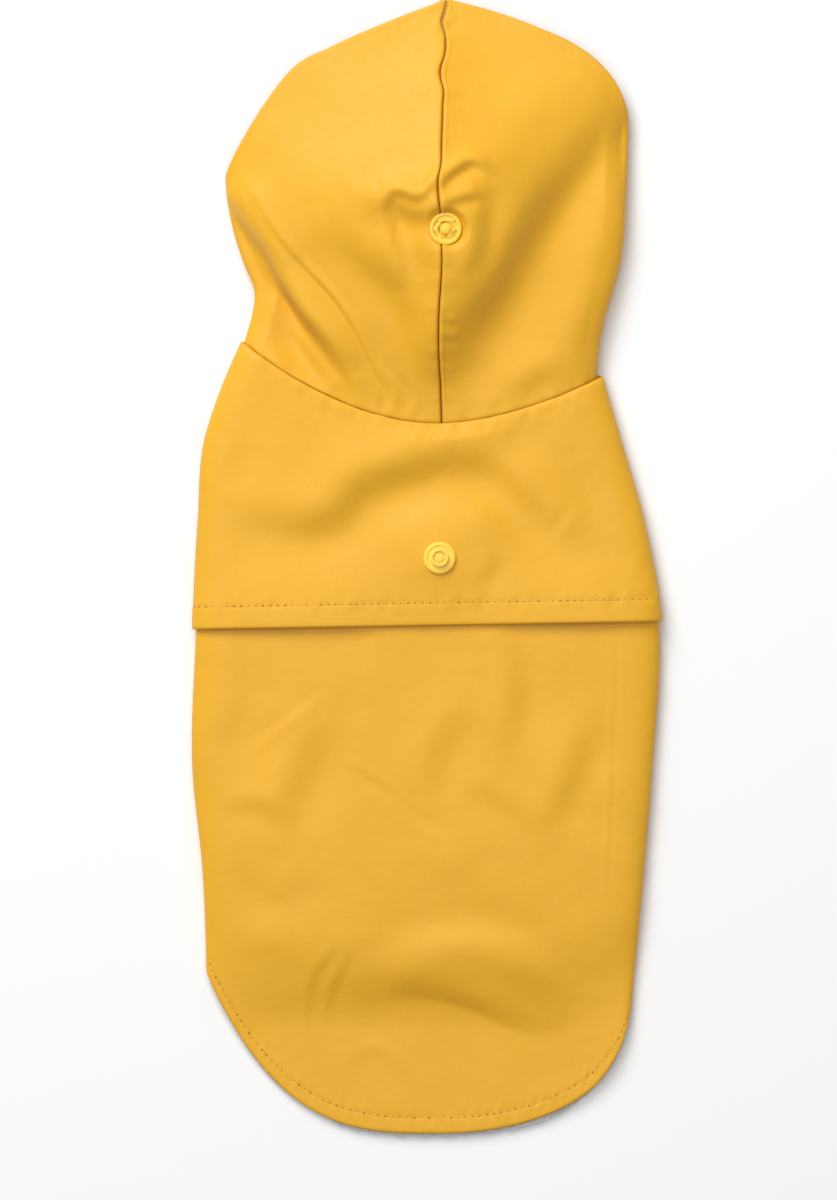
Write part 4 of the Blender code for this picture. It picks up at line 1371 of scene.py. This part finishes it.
HEXAGON_RADII = (3.9, 3.5, 3.35)


def step_faces(steps):
    for step in steps:
        inset_faces(step.inset)
        raise_faces(step.rise)


def in_slot(centre, normal):
    """Whether a face lies in one of the socket's four slots."""
    radius = math.hypot(centre.x, centre.y) / MM
    turn = math.degrees(math.atan2(centre.y, centre.x)) % 360
    near = min(abs(turn - slot) for slot in SLOT_TURNS)
    return normal.z > 0.7 and SLOT_INNER < radius < SLOT_OUTER and near < SLOT_HALF


def socket_snap(place):
    """The hood's socket: a rim, a flat ring with four slots, a six-sided boss and a post in its mouth."""
    item = snap_blank("hood_socket_snap", SNAP_RADIUS, SNAP_BASE, 1.25)
    step_faces(SOCKET_STEPS)
    select_faces(item.data, in_slot)
    raise_faces(-SLOT_DEPTH)
    for radius in HEXAGON_RADII:
        hexagon_at(item, radius)
    finish_snap(item, place)
    return item


def stud_snap(place):
    """The cape's stud: a rim, a flat ring and a raised post with a hollow in it."""
    item = snap_blank("cape_stud_snap", SNAP_RADIUS, SNAP_BASE, 1.05)
    step_faces(STUD_STEPS)
    finish_snap(item, place)
    return item


PLACE_REACH, UPPER_SIDE = 7.0, 4.0


def place_on(points, x, y):
    """A matrix at a point of the upper surface, with its Z along the cloth there."""
    near = np.hypot(points[..., 0] - x, points[..., 1] - y) < PLACE_REACH
    near &= points[..., 2] > UPPER_SIDE
    spots = points[near]
    plane = np.c_[spots[:, 0] - x, spots[:, 1] - y, np.ones(len(spots))]
    slope = np.linalg.lstsq(plane, spots[:, 2], rcond=None)[0]
    up = Vector((-slope[0], -slope[1], 1.0)).normalized()
    across = Vector((1.0, 0.0, slope[0])).normalized()
    turn = Matrix((across, up.cross(across), up)).transposed()
    return Matrix.Translation(Vector((x, y, slope[2])) * MM) @ turn.to_4x4()


# ---------------------------------------------------------------- operators


def cloth_shell(name, points, turned, settings):
    """A panel as a shell: one layer thick, and two where its hem is turned under."""
    down = run_lengths(points, 0)
    single = ease(down[-1:] - down, turned + 0.2, turned + 1.4)
    walls = blend(settings.hem_wall / MM, settings.wall / MM, single)
    return shell_mesh(name, points, outward(points), walls)


class RAINCOAT_OT_back(Operator):
    """Build the back panel, which wraps round both sides"""

    bl_idname = "raincoat.back"
    bl_label = "Back panel"

    def execute(self, context):
        cloth, colours = context.scene.raincoat_cloth, context.scene.raincoat_colours
        look = material_once(coated_cloth, colours)
        item = cloth_shell("back_panel", back_surface(), TAIL_STITCH_AT, cloth)
        finish_piece(item, look, "coated_cloth", "back")
        return {"FINISHED"}


class RAINCOAT_OT_cape(Operator):
    """Build the cape over the shoulders"""

    bl_idname = "raincoat.cape"
    bl_label = "Cape"

    def execute(self, context):
        cloth, colours = context.scene.raincoat_cloth, context.scene.raincoat_colours
        look = material_once(coated_cloth, colours)
        item = cloth_shell("cape_flap", cape_surface(), CAPE_STITCH_AT, cloth)
        finish_piece(item, look, "coated_cloth", "cape")
        return {"FINISHED"}


class RAINCOAT_OT_hood(Operator):
    """Build both halves of the hood"""

    bl_idname = "raincoat.hood"
    bl_label = "Hood halves"

    def execute(self, context):
        cloth, colours = context.scene.raincoat_cloth, context.scene.raincoat_colours
        look = material_once(coated_cloth, colours)
        for side, width in (("left", 0.158), ("right", 0.160)):
            item = cloth_shell(f"hood_{side}_panel", hood_surface(side), BRIM_TURN, cloth)
            finish_piece(item, look, "coated_cloth", "hood_" + side)
        return {"FINISHED"}


class RAINCOAT_OT_belly(Operator):
    """Build both belly panels, each with its leg hole"""

    bl_idname = "raincoat.belly"
    bl_label = "Belly panels"

    def execute(self, context):
        cloth, colours = context.scene.raincoat_cloth, context.scene.raincoat_colours
        look = material_once(coated_cloth, colours)
        for side, (x, y) in zip(("left", "right"), LEG_HOLES):
            points = belly_surface(side)
            wall = np.full(points.shape[:2], cloth.wall / MM)
            item = shell_mesh(f"belly_{side}_panel", points, outward(points), wall)
            cut_hole(item, x, y, *LEG_HOLE_HALF)
            finish_piece(item, look, "coated_cloth", "belly_" + side)
        return {"FINISHED"}


def cut_hole(item, x, y, half_x, half_y):
    """Cuts an upright oval through a panel."""
    bpy.ops.object.select_all(action="DESELECT")
    bpy.ops.mesh.primitive_cylinder_add(vertices=72, radius=1.0, depth=0.03, location=(0, 0, 0))
    tool = bpy.context.object
    tool.data.transform(Matrix.Diagonal((half_x * MM, half_y * MM, 1.0, 1.0)))
    tool.data.transform(Matrix.Translation((x * MM, y * MM, 0)))
    bpy.ops.object.select_all(action="DESELECT")
    item.select_set(True)
    bpy.context.view_layer.objects.active = item
    hole = item.modifiers.new("leg_hole", "BOOLEAN")
    hole.operation = "DIFFERENCE"
    hole.solver = "EXACT"
    hole.object = tool
    bpy.ops.object.modifier_apply(modifier=hole.name)
    bpy.data.objects.remove(tool, do_unlink=True)


LINING_BACKING = 0.8


class RAINCOAT_OT_lining(Operator):
    """Build the terry lining of the tail, with its loops"""

    bl_idname = "raincoat.lining"
    bl_label = "Tail lining"

    def execute(self, context):
        cloth, colours = context.scene.raincoat_cloth, context.scene.raincoat_colours
        look = material_once(terry_lining, colours)
        points = lining_surface()
        normals = outward(points)
        item = shell_mesh("tail_lining", points, normals, np.full(points.shape[:2], LINING_BACKING))
        finish_piece(item, look, "terry_lining", "lining")
        loops = lining_loops(points, normals, cloth.loops)
        pile = mesh_object("tail_lining_loops", *loops)
        finish_piece(pile, look, "terry_lining")
        return {"FINISHED"}


def lining_loops(points, normals, count):
    """Loops all over the lining's lower face, and close together on the edge that shows past the hem."""
    draw = np.random.default_rng(81)
    rows, across = points.shape[:2]
    below_r = draw.uniform(0, rows - 7, count // 2)
    below_c = draw.uniform(0, across - 1, count // 2)
    edge_r = draw.uniform(rows - 7, rows - 1, count - count // 2)
    edge_c = draw.uniform(across * 0.28, across * 0.92, count - count // 2)
    r, c = np.r_[below_r, edge_r], np.r_[below_c, edge_c]
    r0, c0 = np.minimum(r.astype(int), rows - 2), np.minimum(c.astype(int), across - 2)
    fr, fc = (r - r0)[:, None], (c - c0)[:, None]
    near = blend(points[r0, c0], points[r0 + 1, c0], fr)
    far = blend(points[r0, c0 + 1], points[r0 + 1, c0 + 1], fr)
    spot = blend(near, far, fc)
    normal = normals[r0, c0]
    up = np.where(np.arange(count)[:, None] < count // 2, -normal, normal)
    at_edge = ease(r, rows - 3.5, rows - 1)[:, None] * (np.arange(count) >= count // 2)[:, None]
    up = blend(up, np.array([[0.0, -1.0, 0.15]]), 0.85 * at_edge) + draw.uniform(-0.35, 0.35, (count, 3))
    spot = np.where(np.arange(count)[:, None] < count // 2, spot - normal * LINING_BACKING, spot)
    along = np.cross(up, draw.uniform(-1, 1, (count, 3)))
    places, faces = copies(loop_strip(), spot, along, up, draw.uniform(0.6, 0.95, count))
    places[:, 2] = np.maximum(places[:, 2], 0.02)
    return places, faces


def sewn_line(name, place, up, seed, cloth, colours):
    """One line of stitches as a piece, its needle holes in their own darker material of painted shade."""
    sizes = (value / MM for value in (cloth.stitch_pitch, cloth.stitch_length, cloth.thread_radius))
    thread, pits = stitches_on(place, up, *sizes, seed)
    item = mesh_object(name, *joined((thread, pits)))
    finish_piece(item, material_once(sewing_thread, colours), "coated_cloth")
    # The needle holes take painted shade: a darker copy of the cloth's colour.
    item.data.materials.append(material_once(needle_hole, colours))
    if len(item.data.polygons) != len(thread[1]) + len(pits[1]):
        raise RuntimeError(f"{name} lost some of its faces")
    slots = np.r_[np.zeros(len(thread[1])), np.ones(len(pits[1]))].astype(np.int32)
    item.data.polygons.foreach_set("material_index", slots)


class RAINCOAT_OT_stitches(Operator):
    """Lay the stitches of the cape's and the tail's hems and round the leg holes"""

    bl_idname = "raincoat.stitches"
    bl_label = "Hem stitches"

    def execute(self, context):
        cloth, colours = context.scene.raincoat_cloth, context.scene.raincoat_colours
        lines = {
            "cape_hem_stitches": line_in(cape_surface(), CAPE_STITCH_AT),
            "tail_hem_stitches": line_in(back_surface(), TAIL_STITCH_AT),
        }
        for seed, (name, (place, up)) in enumerate(lines.items()):
            sewn_line(name, place, up, 100 + seed, cloth, colours)
        for side, (x, y) in zip(("left", "right"), LEG_HOLES):
            turn = np.linspace(0, 2 * math.pi, 181)
            across, down = (half + HOLE_TURN for half in LEG_HOLE_HALF)
            ring = np.c_[x + across * np.cos(turn), y + down * np.sin(turn), np.full(len(turn), 0.22)]
            up = np.tile((0.0, 0.0, -1.0), (len(turn), 1))
            sewn_line(f"leg_hole_{side}_stitches", ring, up, 120, cloth, colours)
        return {"FINISHED"}


class RAINCOAT_OT_snaps(Operator):
    """Build the socket on the hood and the stud on the cape"""

    bl_idname = "raincoat.snaps"
    bl_label = "Snaps"

    def execute(self, context):
        colours = context.scene.raincoat_colours
        look = material_once(snap_resin, colours)
        hood = np.concatenate([hood_surface("left"), hood_surface("right")], axis=1)
        socket = socket_snap(place_on(hood, *SNAP_PLACES["hood"]))
        finish_piece(socket, look, "snap_resin", "hood_snap_socket")
        stud = stud_snap(place_on(cape_surface(), *SNAP_PLACES["cape"]))
        finish_piece(stud, look, "snap_resin", "cape_snap_stud")
        for name in ("hood_snap_cap", "cape_snap_cap"):
            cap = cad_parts[name]
            cap.data.materials.clear()
            cap.data.materials.append(look)
        return {"FINISHED"}


def soft_box(name, place, size, watts):
    """A square light that faces the coat."""
    bpy.ops.object.light_add(type="AREA", location=place)
    lamp = bpy.context.object
    lamp.name = name
    lamp.data.shape = "SQUARE"
    lamp.data.size = size
    lamp.data.energy = watts
    aim = Vector((0.0, 0.0, 0.0)) - lamp.location
    lamp.rotation_euler = aim.to_track_quat("-Z", "Y").to_euler()


class RAINCOAT_OT_stage(Operator):
    """Set the floor, the light and the camera"""

    bl_idname = "raincoat.stage"
    bl_label = "Stage"

    def execute(self, context):
        stage, colours = context.scene.raincoat_stage, context.scene.raincoat_colours
        bpy.ops.object.select_all(action="DESELECT")
        bpy.ops.mesh.primitive_plane_add(size=6.0, location=(0, 0, -0.0004))
        floor = bpy.context.object
        floor.name = "floor"
        floor.data.materials.append(floor_card(colours))
        world = bpy.data.worlds.new("studio")
        world.use_nodes = True
        world.node_tree.nodes["Background"].inputs["Color"].default_value = (1.0, 1.0, 1.0, 1.0)
        world.node_tree.nodes["Background"].inputs["Strength"].default_value = stage.sky
        context.scene.world = world
        soft_box("ceiling", (-0.20, 0.25, 1.9), 1.8, stage.fill_watts)
        soft_box("window", (-0.82, 1.70, 1.53), 1.2, stage.key_watts)
        bpy.ops.object.camera_add(location=(-0.0035, -0.0132, stage.camera_height), rotation=(0, 0, 0))
        camera = bpy.context.object
        camera.data.lens = stage.lens
        camera.data.sensor_width = 36.0
        camera.data.clip_start, camera.data.clip_end = 0.05, 20.0
        context.scene.camera = camera
        context.scene.view_settings.view_transform = "Standard"
        return {"FINISHED"}


class RAINCOAT_PT_panel(Panel):
    """The coat's sizes and its pieces"""

    bl_idname = "RAINCOAT_PT_panel"
    bl_label = "Raincoat"
    bl_space_type = "VIEW_3D"
    bl_region_type = "UI"
    bl_category = "Raincoat"

    def draw(self, context):
        scene = context.scene
        for group in (scene.raincoat_cloth, scene.raincoat_colours, scene.raincoat_stage):
            box = self.layout.box()
            for name in group.__annotations__:
                box.prop(group, name)
        for operator in OPERATORS:
            self.layout.operator(operator.bl_idname)


OPERATORS = (
    RAINCOAT_OT_stage,
    RAINCOAT_OT_back,
    RAINCOAT_OT_cape,
    RAINCOAT_OT_hood,
    RAINCOAT_OT_belly,
    RAINCOAT_OT_lining,
    RAINCOAT_OT_stitches,
    RAINCOAT_OT_snaps,
)
GROUPS = {
    "raincoat_cloth": RaincoatCloth,
    "raincoat_colours": RaincoatColours,
    "raincoat_stage": RaincoatStage,
}


def register():
    for group in (*GROUPS.values(), *OPERATORS, RAINCOAT_PT_panel):
        bpy.utils.register_class(group)
    for name, group in GROUPS.items():
        setattr(bpy.types.Scene, name, PointerProperty(type=group))


def unregister():
    for name in GROUPS:
        delattr(bpy.types.Scene, name)
    for group in reversed((*GROUPS.values(), *OPERATORS, RAINCOAT_PT_panel)):
        bpy.utils.unregister_class(group)


def main():
    register()
    bpy.ops.raincoat.stage()
    bpy.ops.raincoat.back()
    bpy.ops.raincoat.cape()
    bpy.ops.raincoat.hood()
    bpy.ops.raincoat.belly()
    bpy.ops.raincoat.lining()
    bpy.ops.raincoat.stitches()
    bpy.ops.raincoat.snaps()


if __name__ == "__main__":
    main()
